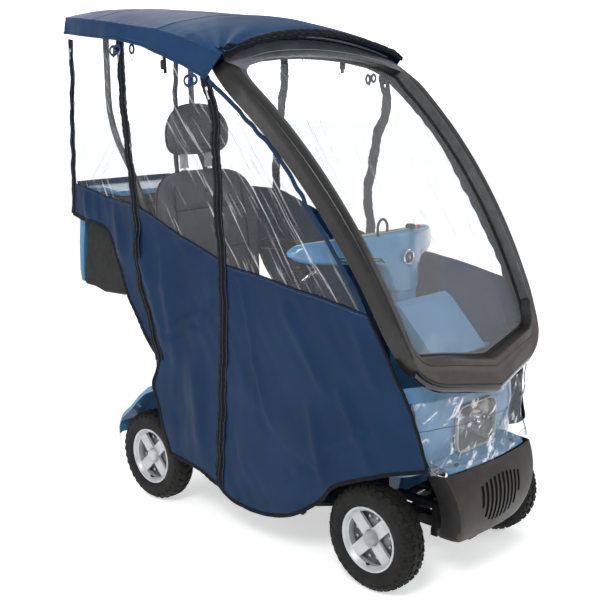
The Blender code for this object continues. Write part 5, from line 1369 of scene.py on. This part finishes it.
def front_cover():
    """Clear cover under the windscreen sill, gathered and creased along its foot."""
    grid = []
    for z in np.linspace(0.405, 0.612, 46):
        t = (z - 0.405) / 0.207
        edge = 0.255 + 0.05 * t
        row = []
        for u in np.linspace(-1, 1, 100):
            x = edge * u
            y = -0.878 + 0.055 * u**2 + 0.012 * abs(u) ** 4 - 0.006 * math.sin(math.pi * t)
            low = math.exp(-t / 0.16)
            y += 0.005 * low * math.sin(u * 34 + 2.5 * math.sin(u * 7) + 6 * t)
            y += 0.003 * low * math.sin(u * 71 + 9 * t + 1.5 * math.sin(u * 11))
            y += 0.0022 * math.sin(u * 9 + t * 13) + 0.0016 * math.sin(u * 17 - t * 21 + 1.0)
            y -= 0.0035 * math.exp(-(((t - 0.62 + 0.22 * u) / 0.05) ** 2)) * (1 if abs(u) > 0.3 else 0.4)
            foot = float(ease(1 - t / 0.32))
            y = y * (1 - foot) + (bumper_y(min(abs(x), 0.222), BUMPER_TOP_Z) + 0.008 + 0.35
                                  * (y + 0.875)) * foot
            row.append((x, min(y, -0.842 + 0.06 * u * u), z - 0.016 * foot + 0.002 * math.sin(u * 30) * low))
        grid.append(row)
    grid = np.array(grid)
    cover = sheet_grid("front_clear_cover", grid, 0.0008, FILM)
    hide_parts("front_film")
    trim = [
        band("front_cover_hem", grid[1] + (0, -0.0015, 0), (0, -1, 0), 0.012, 0.0032, FILM),
        tube("front_cover_stitch", grid[26] + (0, -0.0012, 0), 0.0009, PILLAR_EDGE, 6),
        tube("front_cover_stitch_low", grid[4] + (0, -0.0012, 0), 0.0008, HEADER, 6),
    ]
    for side, word in SIDES:
        column = grid[:, 0] if side < 0 else grid[:, -1]
        path = column + (side * 0.006, 0.006, 0.0)
        trim.append(band(f"front_cover_side_{word}", path, (side * 0.5, -0.85, 0), 0.028, 0.003, NAVY))


front_cover()

# ---------------------------------------------------------------- wheels

TYRE_HALF = [(0.0, 0.1634), (0.012, 0.1632), (0.022, 0.1624), (0.031, 0.1603), (0.0385, 0.156),
             (0.043, 0.149),
             (0.0452, 0.14), (0.046, 0.131), (0.0452, 0.1265), (0.0456, 0.124), (0.044, 0.118),
             (0.0405, 0.109), (0.037, 0.1035), (0.034, 0.1007)]


def tyre_radius(x):
    """Outer radius of a tyre across its width."""
    return float(np.interp(abs(x), [p[0] for p in TYRE_HALF[:8]], [p[1] for p in TYRE_HALF[:8]]))


def tyre(end, word, centre, body):
    """A tyre with staggered shoulder lugs."""
    profile = [(-x, r) for x, r in reversed(TYRE_HALF[1:])] + list(TYRE_HALF)
    profile = profile[::-1]
    carcass = lathe(f"tyre_{end}_{word}_tread", profile, RUBBER, centre, "x", 96, body=body)
    points, faces = [], []
    count = 34
    if end == "front":
        shapes = [
            ([(-0.34, 0.029), (-0.1, 0.024), (0.26, 0.026), (0.36, 0.034), (0.22, 0.0445), (-0.26, 0.0445)],
             0.0),
            ([(-0.38, 0.012), (-0.18, 0.0065), (0.2, 0.0065), (0.4, 0.012), (0.2, 0.0205),
              (-0.2, 0.0205)], 0.5),
        ]
    else:
        shapes = [
            ([(-0.1, 0.024), (0.26, 0.024), (0.02, 0.0445), (-0.4, 0.0445)], 0.0),
            ([(0.02, 0.004), (0.4, 0.004), (0.1, 0.0205), (-0.3, 0.0205)], 0.35),
        ]
    for i in range(count):
        for side in (-1, 1):
            for outline, shift in shapes:
                start = len(points)
                for lift, grow in ((-0.002, 1.0), (0.003, 1.0), (0.004, 0.9)):
                    mid = np.mean(outline, axis=0)
                    for a, x in outline:
                        a, x = mid[0] + (a - mid[0]) * grow, mid[1] + (x - mid[1]) * grow
                        angle = 2 * math.pi * (i + shift + a) / count
                        out = 0.0 if x < 0.036 else (x - 0.036) / 0.009
                        r = tyre_radius(x) + lift * (1 - 0.45 * out)
                        w = side * (x + lift * 0.6 * out)
                        points.append((centre[0] + w, centre[1] + r * math.cos(angle),
                                       centre[2] + r * math.sin(angle)))
                n = len(outline)
                for level in (0, 1):
                    a, b = start + level * n, start + (level + 1) * n
                    for j in range(n):
                        k = (j + 1) % n
                        quad = (a + j, a + k, b + k, b + j)
                        faces.append(quad if side > 0 else quad[::-1])
                top = tuple(start + 2 * n + j for j in range(n))
                base = tuple(start + j for j in reversed(range(n)))
                faces += [top, base] if side > 0 else [top[::-1], base[::-1]]
    lugs = add_mesh(f"tyre_{end}_{word}_lugs", points, faces, RUBBER, body, 30.0, outward=False)
    normals_out(lugs)
    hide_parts(f"tyre_{end}_{word}")


def normals_out(obj):
    """Faces turned outwards."""
    import bmesh

    data = bmesh.new()
    data.from_mesh(obj.data)
    bmesh.ops.recalc_face_normals(data, faces=data.faces)
    data.to_mesh(obj.data)
    data.free()
    shade(obj, 30.0)


def rim(end, word, side, centre, body):
    """A four-spoke wheel with its drum, cap, bolts and valve."""
    profile = ((-0.028, 0.0108), (0.012, 0.0108), (0.012, 0.024), (0.0205, 0.026), (0.0235, 0.034),
               (0.024, 0.04),
               (0.024, 0.0835), (0.0262, 0.0875), (0.033, 0.0925), (0.0385, 0.096), (0.0402, 0.098),
               (0.0405, 0.1003), (0.0398, 0.1026), (0.038, 0.1034), (0.0358, 0.1024), (0.0345, 0.1004),
               (-0.0345, 0.1002), (-0.0385, 0.1025), (-0.04, 0.1), (-0.0385, 0.0965), (-0.03, 0.0925),
               (0.008, 0.0905), (0.013, 0.084), (0.014, 0.03), (-0.028, 0.022))
    wheel = lathe(f"rim_{end}_{word}_casting", profile, ALLOY, (0.0, 0.0, 0.0), "x", 96, body=None)
    cuts = []
    for i in range(4):
        outline = []
        for r in (0.0325, 0.0335, 0.0385, 0.05, 0.064, 0.077, 0.0825, 0.0855):
            outline.append((r, math.pi / 4 - math.asin(min(0.0205 / r, math.sin(math.pi / 4 - 0.06)))))
        outline = [(0.0322, 0.0), *outline, (0.0868, 0.43), (0.0872, 0.22), (0.0873, 0.0)]
        full = outline + [(r, -a) for r, a in reversed(outline[1:-1])]
        flat = smooth_path([(r * math.cos(math.pi / 2 * i + a), r * math.sin(math.pi / 2 * i + a)) for r,
                            a in full], 2, True)
        cuts.append(prism("cutter", [tuple(p) for p in flat], "yz", 0.004, 0.045, ALLOY, 0.0001, body=None))
    carve(wheel, cuts)
    soften(wheel, 0.0011, 2, 40.0)
    if side < 0:
        wheel.rotation_euler = (0.0, 0.0, math.pi)
    wheel.location = centre
    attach(wheel, body)
    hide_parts(f"rim_{end}_{word}")
    s = side
    disc = ((0.0, 0.0125), (0.006, 0.013), (0.0085, 0.024), (0.0085, 0.058), (0.005, 0.064),
            (0.005, 0.0865),
            (0.002, 0.0885), (0.0, 0.0885))
    lathe(f"wheel_{end}_{word}_drum", disc, DRUM, centre, "x", 64, flip=s < 0, body=body)
    cap = ((0.016, 0.0), (0.016, 0.0245), (0.03, 0.0238), (0.0345, 0.0215), (0.037, 0.017),
           (0.0382, 0.008),
           (0.0384, 0.0))
    lathe(f"wheel_{end}_{word}_cap", cap, GREY_PLASTIC if end == "front" else ALLOY, centre, "x", 48,
          flip=s < 0,
          closed=False, body=body)
    for n in range(4):
        a = math.pi / 2 * n
        for k, spread in enumerate((-0.22, 0.22)):
            c = (centre[0], centre[1] + 0.066 * math.cos(a + spread),
                 centre[2] + 0.066 * math.sin(a + spread))
            bolt = ((0.004, 0.0), (0.004, 0.0062), (0.0105, 0.0062), (0.0115, 0.005), (0.0115, 0.0))
            lathe(f"wheel_{end}_{word}_bolt_{n}{k}", bolt, BARE, c, "x", 6, flip=s < 0, closed=False,
                  body=body)
    valve = [(centre[0] + s * 0.024, centre[1] + 0.006, centre[2] - 0.088),
             (centre[0] + s * 0.036, centre[1] + 0.006,
             centre[2] - 0.08)]
    tube(f"wheel_{end}_{word}_valve", valve, 0.0032, RUBBER, 10, body=body)


for end, axle_y, axle_x in AXLES:
    for side, word in SIDES:
        centre = (side * axle_x, axle_y, WHEEL_RADIUS)
        tyre(end, word, centre, f"wheel_{end}_{word}")
        rim(end, word, side, centre, f"wheel_{end}_{word}")

# ---------------------------------------------------------------- seat


def lean(z):
    """Where the leaning plane of the backrest lies, as y at a height."""
    return 0.372 + 0.155 * (z - 0.66)


def pillow(name, outline, to_world, top, bottom, relief, look, body, rings=15, power=4.0):
    """A stuffed closed form: top(u, v) and bottom(u, v) heights over an outline, rounded at its edge."""
    outline = np.asarray(outline, float)
    centre = outline.mean(axis=0)
    shares = 1 - (1 - np.linspace(0.0, 1.0, rings)) ** 1.8
    points, faces, levels = [], [], []
    for which, sequence in ((1, shares), (-1, shares[::-1][1:])):
        for t in sequence:
            start = len(points)
            if t == 0:
                points.append(to_world(centre[0], centre[1], which * (top if which > 0 else bottom)
                                       + relief(centre[0], centre[1], which)))
                levels.append((start, 1))
                continue
            height = (top if which > 0 else bottom) * (1 - t**power) ** (1 / 2.2)
            for p in centre + t * (outline - centre):
                points.append(to_world(p[0], p[1], which * height + relief(p[0], p[1], which) * (1 - t**8)))
            levels.append((start, len(outline)))
    count = len(outline)
    for (a, a_count), (b, b_count) in zip(levels[:-1], levels[1:]):
        for j in range(count):
            k = (j + 1) % count
            if a_count == 1:
                faces.append((a, b + k, b + j))
            elif b_count == 1:
                faces.append((a + j, a + k, b))
            else:
                faces.append((a + j, a + k, b + k, b + j))
    obj = add_mesh(name, points, faces, look, body, 180.0)
    fine = obj.modifiers.new("soft form", "SUBSURF")
    fine.levels = fine.render_levels = 1
    return obj


def seat_cushion():
    """The seat cushion with its sewn channels."""
    outline = smooth_path(rounded(0.444, 0.396, 0.07, 5, (0.0, 0.143)), 2, True)

    def world(u, v, h):
        return (u, v, 0.65 + h)

    def groove(d, width, depth):
        return -depth * math.exp(-((d / width) ** 2))

    def relief(u, v, which):
        if which < 0:
            return 0.0
        side = groove(abs(u) - 0.142, 0.006, 0.006)
        cross = groove(v - 0.235, 0.006, 0.004) * (1 if abs(u) < 0.142 else 0)
        ribs = 0.0016 * math.sin(v * 95) * float(ease((0.13 - abs(u)) / 0.02))
        bolster = 0.006 * float(ease((abs(u) - 0.15) / 0.04))
        return side + cross + ribs + bolster - 0.004 * math.exp(-((u / 0.1) ** 2)) + 0.0008 * math.sin(31
                * u + 17 * v)

    pad = pillow("seat_cushion_pad", outline, world, 0.045, 0.041, relief, SEAT, "seat", 20, 5.0)
    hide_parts("seat_cushion")
    rim = np.array([world(u, v, 0.002) for u, v in outline])
    middle = rim.mean(axis=0)
    tube("seat_cushion_piping", middle + (rim - middle) * (1.002, 1.002, 1.0), 0.0032, BINDING, 8, True,
         "seat")
    for side, word in SIDES:
        line = [(side * 0.142, v) for v in np.linspace(-0.03, 0.315, 40)]
        path = [(u, v, 0.65 + 0.045 * (1 - (max(abs(v - 0.143) / 0.198, 0.62) ** 5)) ** 0.45 - 0.0045)
                for u, v in line]
        tube(f"seat_cushion_seam_{word}", path, 0.0022, BINDING, 8, body="seat")


def back_outline(levels):
    """A closed symmetric outline from (height, half width) levels."""
    right = smooth_path([(w, z) for z, w in levels], 3)
    left = (right * (-1, 1))[::-1]
    return np.concatenate([right, left[(1 if abs(right[-1][0]) < 1e-6 else 0):]])


def backrest():
    """The backrest with bolsters, seams and its rear shell."""
    levels = [(0.688, 0.15), (0.7, 0.198), (0.76, 0.218), (0.86, 0.228), (0.98, 0.24), (1.06, 0.242),
              (1.13, 0.226), (1.168, 0.196), (1.188, 0.15), (1.195, 0.09), (1.196, 0.03)]
    outline = back_outline(levels)
    outline = np.concatenate([outline, [(-0.06, 0.686), (0.06, 0.686)]])

    def world(u, v, h):
        return (u, lean(v) + 0.02 - h - 0.03 * min(1.0, abs(u) / 0.24) ** 2, v)

    def groove(d, width, depth):
        return -depth * math.exp(-((d / width) ** 2))

    def line_u(v):
        return 0.15 + 0.02 * math.sin((v - 0.7) * 5.5)

    def relief(u, v, which):
        if which < 0:
            return 0.0
        inner = float(ease((line_u(v) - abs(u)) / 0.03))
        side = groove(abs(u) - line_u(v), 0.007, 0.01)
        cross = (groove(v - 1.06, 0.006, 0.007) + groove(v - 0.905, 0.006, 0.006)) * inner
        bolster = 0.016 * float(ease((abs(u) - line_u(v)) / 0.035))
        soft = 0.0012 * math.sin(27 * u + 14 * v) + 0.001 * math.sin(41 * v - 9 * u)
        return side + cross + bolster + soft * 1.3

    pad = pillow("backrest_pad", outline, world, 0.044, 0.04, relief, SEAT, "backrest", 24, 5.0)
    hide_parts("backrest")
    rim = np.array([world(u, v, 0.0) for u, v in outline])
    centre = rim.mean(axis=0)
    tube("backrest_piping", centre + (rim - centre) * 0.999, 0.0028, BINDING, 8, True, "backrest")
    for side, word in SIDES:
        line = [(side * line_u(v), v) for v in np.linspace(0.725, 1.15, 50)]
        path = [np.array(world(u, v, 0.042 - 0.0035)) for u, v in line]
        tube(f"backrest_seam_{word}", path, 0.0024, BINDING, 8, body="backrest")
    for n, z in enumerate((1.06, 0.905)):
        path = [world(u, z, 0.044 - 0.0035) for u in np.linspace(-line_u(z) + 0.008, line_u(z) - 0.008, 30)]
        tube(f"backrest_cross_seam_{n}", path, 0.0018, BINDING, 8, body="backrest")
    button = ((-0.004, 0.0), (-0.004, 0.012), (0.002, 0.011), (0.004, 0.006), (0.0045, 0.0))
    lathe("backrest_button", button, PLASTIC, world(0.0, 1.125, 0.043), "y", 24, flip=True, closed=False,
          body="backrest")
    back_panel = rounded(0.33, 0.36, 0.06, 6, (0.0, 0.93))
    rings = []
    for amount, off in ((0.01, 0.0), (0.0, 0.003), (0.001, 0.007), (0.012, 0.0095), (0.06, 0.01)):
        rings.append([(u, lean(v) + 0.02 + 0.0385 + off - 0.03 * min(1.0, abs(u) / 0.24) ** 2, v)
                      for u, v in inset(back_panel, amount)])
    loft("backrest_rear_shell", rings, PLASTIC, body="backrest")
    for side, word in SIDES:
        x0, x1 = sorted((side * 0.17, side * 0.1865))
        lug = [(0.36, 0.649), (0.384, 0.649), (0.4, 0.7), (0.405, 0.745), (0.38, 0.745), (0.366, 0.7)]
        prism(f"backrest_lug_{word}", lug, "yz", x0, x1, STEEL, 0.001, "backrest")


def headrest():
    """The headrest and its two posts."""
    levels = [(1.262, 0.085), (1.27, 0.122), (1.29, 0.142), (1.32, 0.148), (1.35, 0.148), (1.385, 0.136),
              (1.415, 0.112), (1.436, 0.074), (1.444, 0.03)]
    outline = np.concatenate([back_outline(levels), [(-0.04, 1.26), (0.04, 1.26)]])

    def world(u, v, h):
        return (u, 0.488 - h - 0.018 * min(1.0, abs(u) / 0.148) ** 2, v)

    def relief(u, v, which):
        d = math.hypot(u / 0.112, (v - 1.35) / 0.066) - 1.0
        ring = -0.0045 * math.exp(-((d * 0.08 / 0.006) ** 2)) if which > 0 else 0.0
        return ring + 0.0009 * math.sin(37 * u + 23 * v)

    pad = pillow("headrest_pad", outline, world, 0.042, 0.04, relief, SEAT, "headrest", 20, 3.6)
    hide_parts("headrest")
    rim = np.array([world(u, v, 0.0) for u, v in outline])
    centre = rim.mean(axis=0)
    tube("headrest_piping", centre + (rim - centre) * 1.004, 0.0028, BINDING, 8, True, "headrest")
    for side, word in SIDES:
        x = side * 0.06
        tube(f"headrest_stalk_{word}", [(x, 0.477, 1.199), (x, 0.483, 1.245), (x, 0.487, 1.285)], 0.006,
             CHROME,
             16, body="headrest")
        path = [(x, 0.479, 1.207), (x, 0.482, 1.235), (x, 0.485, 1.275)]
        band(f"headrest_sleeve_{word}", smooth_path(path, 4), (0, -1, 0.15),
             (0.034, 0.033, 0.032, 0.031, 0.031, 0.031,
             0.032, 0.033, 0.034), 0.017, GREY_PLASTIC, body="headrest")
        collar = ((-0.003, 0.0075), (-0.003, 0.015), (0.0022, 0.0135), (0.0028, 0.0075))
        lathe(f"headrest_collar_{word}", collar, PLASTIC, (x, 0.4765, 1.1975), "z", 24, body="backrest")


def armrests():
    """The padded armrests."""
    for side, word in SIDES:
        side_view = [(0.072, 0.893), (0.08, 0.882), (0.11, 0.8785), (0.24, 0.8775), (0.33, 0.876),
                     (0.38, 0.87),
                     (0.402, 0.872), (0.41, 0.89), (0.402, 0.91), (0.37, 0.9165), (0.33, 0.918),
                     (0.2, 0.9205),
                     (0.1, 0.92), (0.076, 0.912)]
        outline = smooth_path(side_view, 3, True)
        rings = []
        for share, shrink in ((0.0, 0.012), (0.04, 0.0065), (0.14, 0.0022), (0.3, 0.0), (0.5, -0.0006),
                              (0.7, 0.0),
                              (0.86, 0.0022), (0.96, 0.0065), (1.0, 0.012)):
            x = side * (0.25 + 0.0415 * share)
            middle = outline.mean(axis=0)
            half = np.array((0.17, 0.022))
            rings.append(placed(middle + (outline - middle) * (1 - shrink / half), "yz", x))
        pad = loft(f"armrest_pad_{word}", rings, SOFT, body=f"armrest_{word}", crease=60.0)
        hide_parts(f"armrest_{word}")
        seam = placed(outline.mean(axis=0) + (outline - outline.mean(axis=0)) * 1.001, "yz", side * 0.269)
        tube(f"armrest_seam_{word}", seam, 0.0011, BINDING, 6, True, f"armrest_{word}")
        cap = ((0.0, 0.0), (0.0, 0.011), (0.003, 0.01), (0.004, 0.0))
        lathe(f"armrest_hinge_cap_{word}", cap, CHROME, (side * 0.2915, 0.392, 0.893), "x", 24, flip=side < 0,
              closed=False, body=f"armrest_{word}")


seat_cushion()
backrest()
headrest()
armrests()

# ---------------------------------------------------------------- tiller


def wing_tip(x):
    """How far out along the tiller's wing, from 0 to 1."""
    return min(1.0, abs(x) / 0.338)


def wing_y(x):
    """Middle of the wing, which sweeps back."""
    return -0.516 + 0.154 * wing_tip(x) ** 1.6


def tiller():
    """The tiller's head, grips, dial and lock."""
    half = [(0.0, 0.86, 1.058), (0.03, 0.86, 1.057), (0.052, 0.866, 1.056), (0.062, 0.884, 1.056),
            (0.069, 0.915, 1.055), (0.08, 0.94, 1.054), (0.105, 0.957, 1.053), (0.16, 0.964, 1.048),
            (0.24, 0.968, 1.041), (0.3, 0.974, 1.034), (0.326, 0.984, 1.026), (0.337, 0.996, 1.014)]
    fine = smooth_path(half, 3)
    rows = [(-x, a, b) for x, a, b in fine[::-1][:-1]] + [tuple(p) for p in fine]
    rings = []
    for x, low, high in rows:
        round_edge = min(0.013, (high - low) * 0.45)
        ring = rounded(0.06 - 0.022 * wing_tip(x) ** 4, high - low, round_edge, 5,
                       (wing_y(x), (low + high) / 2))
        rings.append([(x, y + 0.1 * (z - 1.0), z) for y, z in ring])
    head = loft("tiller_head_shell", rings, BLUE, body="tiller", crease=60.0)
    neck = []
    for (y, z), half_width in zip(smooth_path([(-0.553, 0.64), (-0.542, 0.76), (-0.527, 0.89)], 6),
                                  np.interp(np.linspace(0, 1, 13), (0, 0.5, 1), (0.03, 0.04, 0.052))):
        neck.append([(a, y + b, z) for a, b in rounded(2 * half_width, 0.05, 0.016, 5)])
    loft("tiller_neck_shell", neck, BLUE, body="tiller", crease=60.0)
    block("tiller_root", (-0.0192, -0.566, 0.58), (0.0192, -0.54, 0.65), STEEL, 0.001, "tiller")
    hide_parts("tiller_cowl")
    loop = [(-0.102, -0.512, 1.046), (-0.103, -0.512, 1.078), (-0.094, -0.512, 1.095),
            (-0.08, -0.512, 1.101),
            (-0.066, -0.512, 1.095), (-0.057, -0.512, 1.078), (-0.058, -0.512, 1.046)]
    tube("bag_hook", smooth_path(loop, 5), 0.0042, SOFT, 14, body="tiller")
    strip = []
    for x in np.linspace(-0.215, 0.215, 60):
        high = float(np.interp(abs(x), [p[0] for p in half], [p[2] for p in half]))
        strip.append((x, wing_y(x) + 0.1 * (high - 1.0) + 0.002, high + 0.0006))
    band("console_strip", strip, (0, 0.05, 1), 0.036, 0.0042, GREY_PLASTIC, body="tiller")
    gauge = rounded(0.046, 0.018, 0.004, 4, (-0.01, -0.5085))
    prism("battery_gauge", gauge, "xy", 1.0585, 1.0612, PIANO, 0.0006, "tiller")
    for n in range(5):
        lamp = rounded(0.005, 0.006, 0.0012, 3, (-0.026 + 0.008 * n, -0.5085))
        prism(f"gauge_lamp_{n}", lamp, "xy", 1.0608, 1.0617, RED if n == 0 else HEADER, 0.0002, "tiller")
    for side, word in SIDES:
        pocket = [(side * x, z) for x, z in ((0.092, 0.962), (0.11, 0.968), (0.225, 0.975), (0.235, 0.985),
                                             (0.225, 0.992), (0.11, 0.985), (0.094, 0.976))]
        if side < 0:
            pocket = pocket[::-1]
        rows = []
        for amount, off in ((0.0, 0.003), (0.0006, 0.0006), (0.003, -0.0004), (0.006, -0.0006)):
            row = []
            for x, z in inset(smooth_path(pocket, 3, True), amount):
                y = wing_y(x) - (0.03 - 0.011 * wing_tip(x) ** 4) + 0.1 * (z - 1.0)
                row.append((x, y + off, z))
            rows.append(row)
        loft(f"tiller_pocket_{word}", rows, PIANO, body="tiller", crease=60.0)
    for side, word in SIDES:
        path = smooth_path([(side * 0.2864, -0.3162, 0.931), (side * 0.291, -0.285, 0.915),
                            (side * 0.294, -0.248, 0.894)], 12)
        radii = 0.015 + 0.0007 * np.sin(np.arange(len(path)) * 2.1)
        radii[0] = radii[-1] = 0.0142
        grip = tube(f"hand_grip_{word}", path, radii, SOFT, 24, body="tiller")
        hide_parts(f"grip_{word}")
        along = (path[1] - path[0]) / np.linalg.norm(path[1] - path[0])
        tube(f"grip_flange_{word}", [path[0], path[0] + along * 0.004], 0.0185, SOFT, 24, body="tiller")
    for name in ("handlebar", "brake_lever", "throttle_lever"):
        subdivide(name)
    lathe("ignition_lock_face", ((0.0, 0.0), (0.0, 0.0195), (-0.0018, 0.0185), (-0.0022, 0.0)), SOFT,
          (0.0, -0.5566, 0.975), "y", 40, closed=False, body="ignition_lock")
    block("ignition_key_slot", (-0.0016, -0.5598, 0.966), (0.0016, -0.5585, 0.984), CHROME, 0.0004,
          "ignition_lock")
    dial = ((0.0, 0.0), (0.0, 0.0155), (0.006, 0.0158), (0.0125, 0.0135), (0.0138, 0.0115), (0.0142, 0.0))
    knob = lathe("speed_dial_knob", dial, SOFT, (0.06, -0.512, 1.0582), "z", 40, closed=False,
                 body="speed_dial")
    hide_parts("speed_dial")
    for n in range(16):
        a = 2 * math.pi * n / 16
        c = np.array((0.06 + 0.0152 * math.cos(a), -0.512 + 0.0152 * math.sin(a), 1.06))
        tube(f"speed_dial_rib_{n}", [c, c + (0, 0, 0.0085)], 0.0012, SOFT, 8, body="speed_dial")
    block("speed_dial_pointer", (0.0592, -0.5265, 1.072), (0.0608, -0.5135, 1.073), HEADER, 0.0003,
          "speed_dial")
    lathe("ignition_bezel", ((-0.0005, 0.02), (-0.0052, 0.0205), (-0.007, 0.023), (-0.0052, 0.0258),
                             (-0.001, 0.0262), (-0.0005, 0.0262)), CHROME, (0.0, -0.5518, 0.975), "y", 48,
          body="ignition_lock")


def subdivide(name):
    """One level of subdivision on a frame node."""
    fine = frame["nodes"][name].modifiers.new("soft form", "SUBSURF")
    fine.levels = fine.render_levels = 1


tiller()

# ---------------------------------------------------------------- cases, lamps and floor


def details():
    """Eased edges on carried-over parts, and the ribbed floor mat."""
    for name in ("leg_shield", "rear_body_cover", "floor_pan", "rear_box_body", "rear_box_lid",
                 "chassis_frame",
                 "battery_right", "battery_left", "tail_light_right", "tail_light_left", "seat_pan",
                 "swivel_plate",
                 "front_axle_beam", "knuckle_right", "knuckle_left", "transaxle"):
        soften(frame["nodes"][name], 0.0016 if "lid" not in name else 0.003, 2, 32.0)
    for n, y in enumerate(np.linspace(-0.52, -0.02, 26)):
        block(f"floor_mat_rib_{n}", (-0.165, y, 0.1982), (0.165, y + 0.01, 0.2002), CARPET, 0.0008)


details()


def dress_frame():
    """Every frame node that still shows takes the finish of its material."""
    finishes = {}
    for entry in frame["record"]["materials"]:
        for name in entry.get("nodes", []):
            finishes[name] = entry["slot"]
    for name, obj in frame["nodes"].items():
        word = finishes.get(name)
        if word is None and obj.data.materials and obj.data.materials[0]:
            word = obj.data.materials[0].name.split(".")[0]
        look = SLOT_LOOKS.get(word, PLASTIC)
        obj.data.materials.clear()
        obj.data.materials.append(look)


dress_frame()


LAMPS = (
    ("key", (-3.6, -2.4, 4.2), (1.6, 1.6), 150.0),
    ("fill", (3.4, -3.6, 2.6), (2.4, 2.4), 34.0),
    ("side", (-4.4, 1.6, 1.8), (0.8, 3.0), 34.0),
    ("rear", (1.6, 4.2, 3.6), (3.0, 2.0), 50.0),
)
LAMP_AIM = Vector((0, 0, 0.8))
FLOOR_REACH = 40
WALL_RADIUS = 38
WALL_SIDES = 32


def stage_piece(name, points, faces, look):
    """The floor or the backdrop: part of the studio, not of the scooter."""
    mesh = bpy.data.meshes.new(name)
    mesh.from_pydata(points, [], faces)
    mesh.materials.append(look)
    obj = bpy.data.objects.new(name, mesh)
    bpy.context.scene.collection.objects.link(obj)
    return obj


def studio():
    """Pale floor, white backdrop and soft lights."""
    floor = finish("studio floor", (0.88, 0.88, 0.88), (0.9, 0.9, 0.9), 0.55, 2.0, 60.0, 0.05,
                   Emission_Color=(1.0, 1.0, 1.0, 1.0), Emission_Strength=0.53)
    reach = FLOOR_REACH
    corners = [(-reach, -reach, 0), (reach, -reach, 0), (reach, reach, 0), (-reach, reach, 0)]
    stage_piece("studio_floor", corners, [(0, 1, 2, 3)], floor)
    world = bpy.data.worlds.new("studio")
    world.use_nodes = True
    world.node_tree.nodes["Background"].inputs["Color"].default_value = (0.96, 0.98, 1.0, 1.0)
    world.node_tree.nodes["Background"].inputs["Strength"].default_value = 0.55
    bpy.context.scene.world = world
    bpy.context.scene.view_settings.view_transform = "Standard"
    backdrop = bpy.data.materials.new("white backdrop")
    backdrop.use_nodes = True
    shader = backdrop.node_tree.nodes["Principled BSDF"]
    shader.inputs["Emission Color"].default_value = (1.0, 1.0, 1.0, 1.0)
    shader.inputs["Emission Strength"].default_value = 1.0
    angles = np.linspace(0, 2 * math.pi, WALL_SIDES + 1)[:-1]
    ring = [(WALL_RADIUS * math.cos(a), WALL_RADIUS * math.sin(a), z) for z in (-0.01, FLOOR_REACH)
            for a in angles]
    count = WALL_SIDES
    sides = [(i, (i + 1) % count, count + (i + 1) % count, count + i) for i in range(count)]
    wall = stage_piece("studio_backdrop", ring, sides, backdrop)
    wall.visible_diffuse = wall.visible_glossy = wall.visible_shadow = False
    for name, place, size, power in LAMPS:
        lamp = bpy.data.lights.new(name, "AREA")
        lamp.shape = "RECTANGLE"
        lamp.size, lamp.size_y = size
        lamp.energy = power
        obj = bpy.data.objects.new(name, lamp)
        obj.location = place
        obj.rotation_euler = (LAMP_AIM - Vector(place)).to_track_quat("-Z", "Y").to_euler()
        bpy.context.scene.collection.objects.link(obj)


studio()
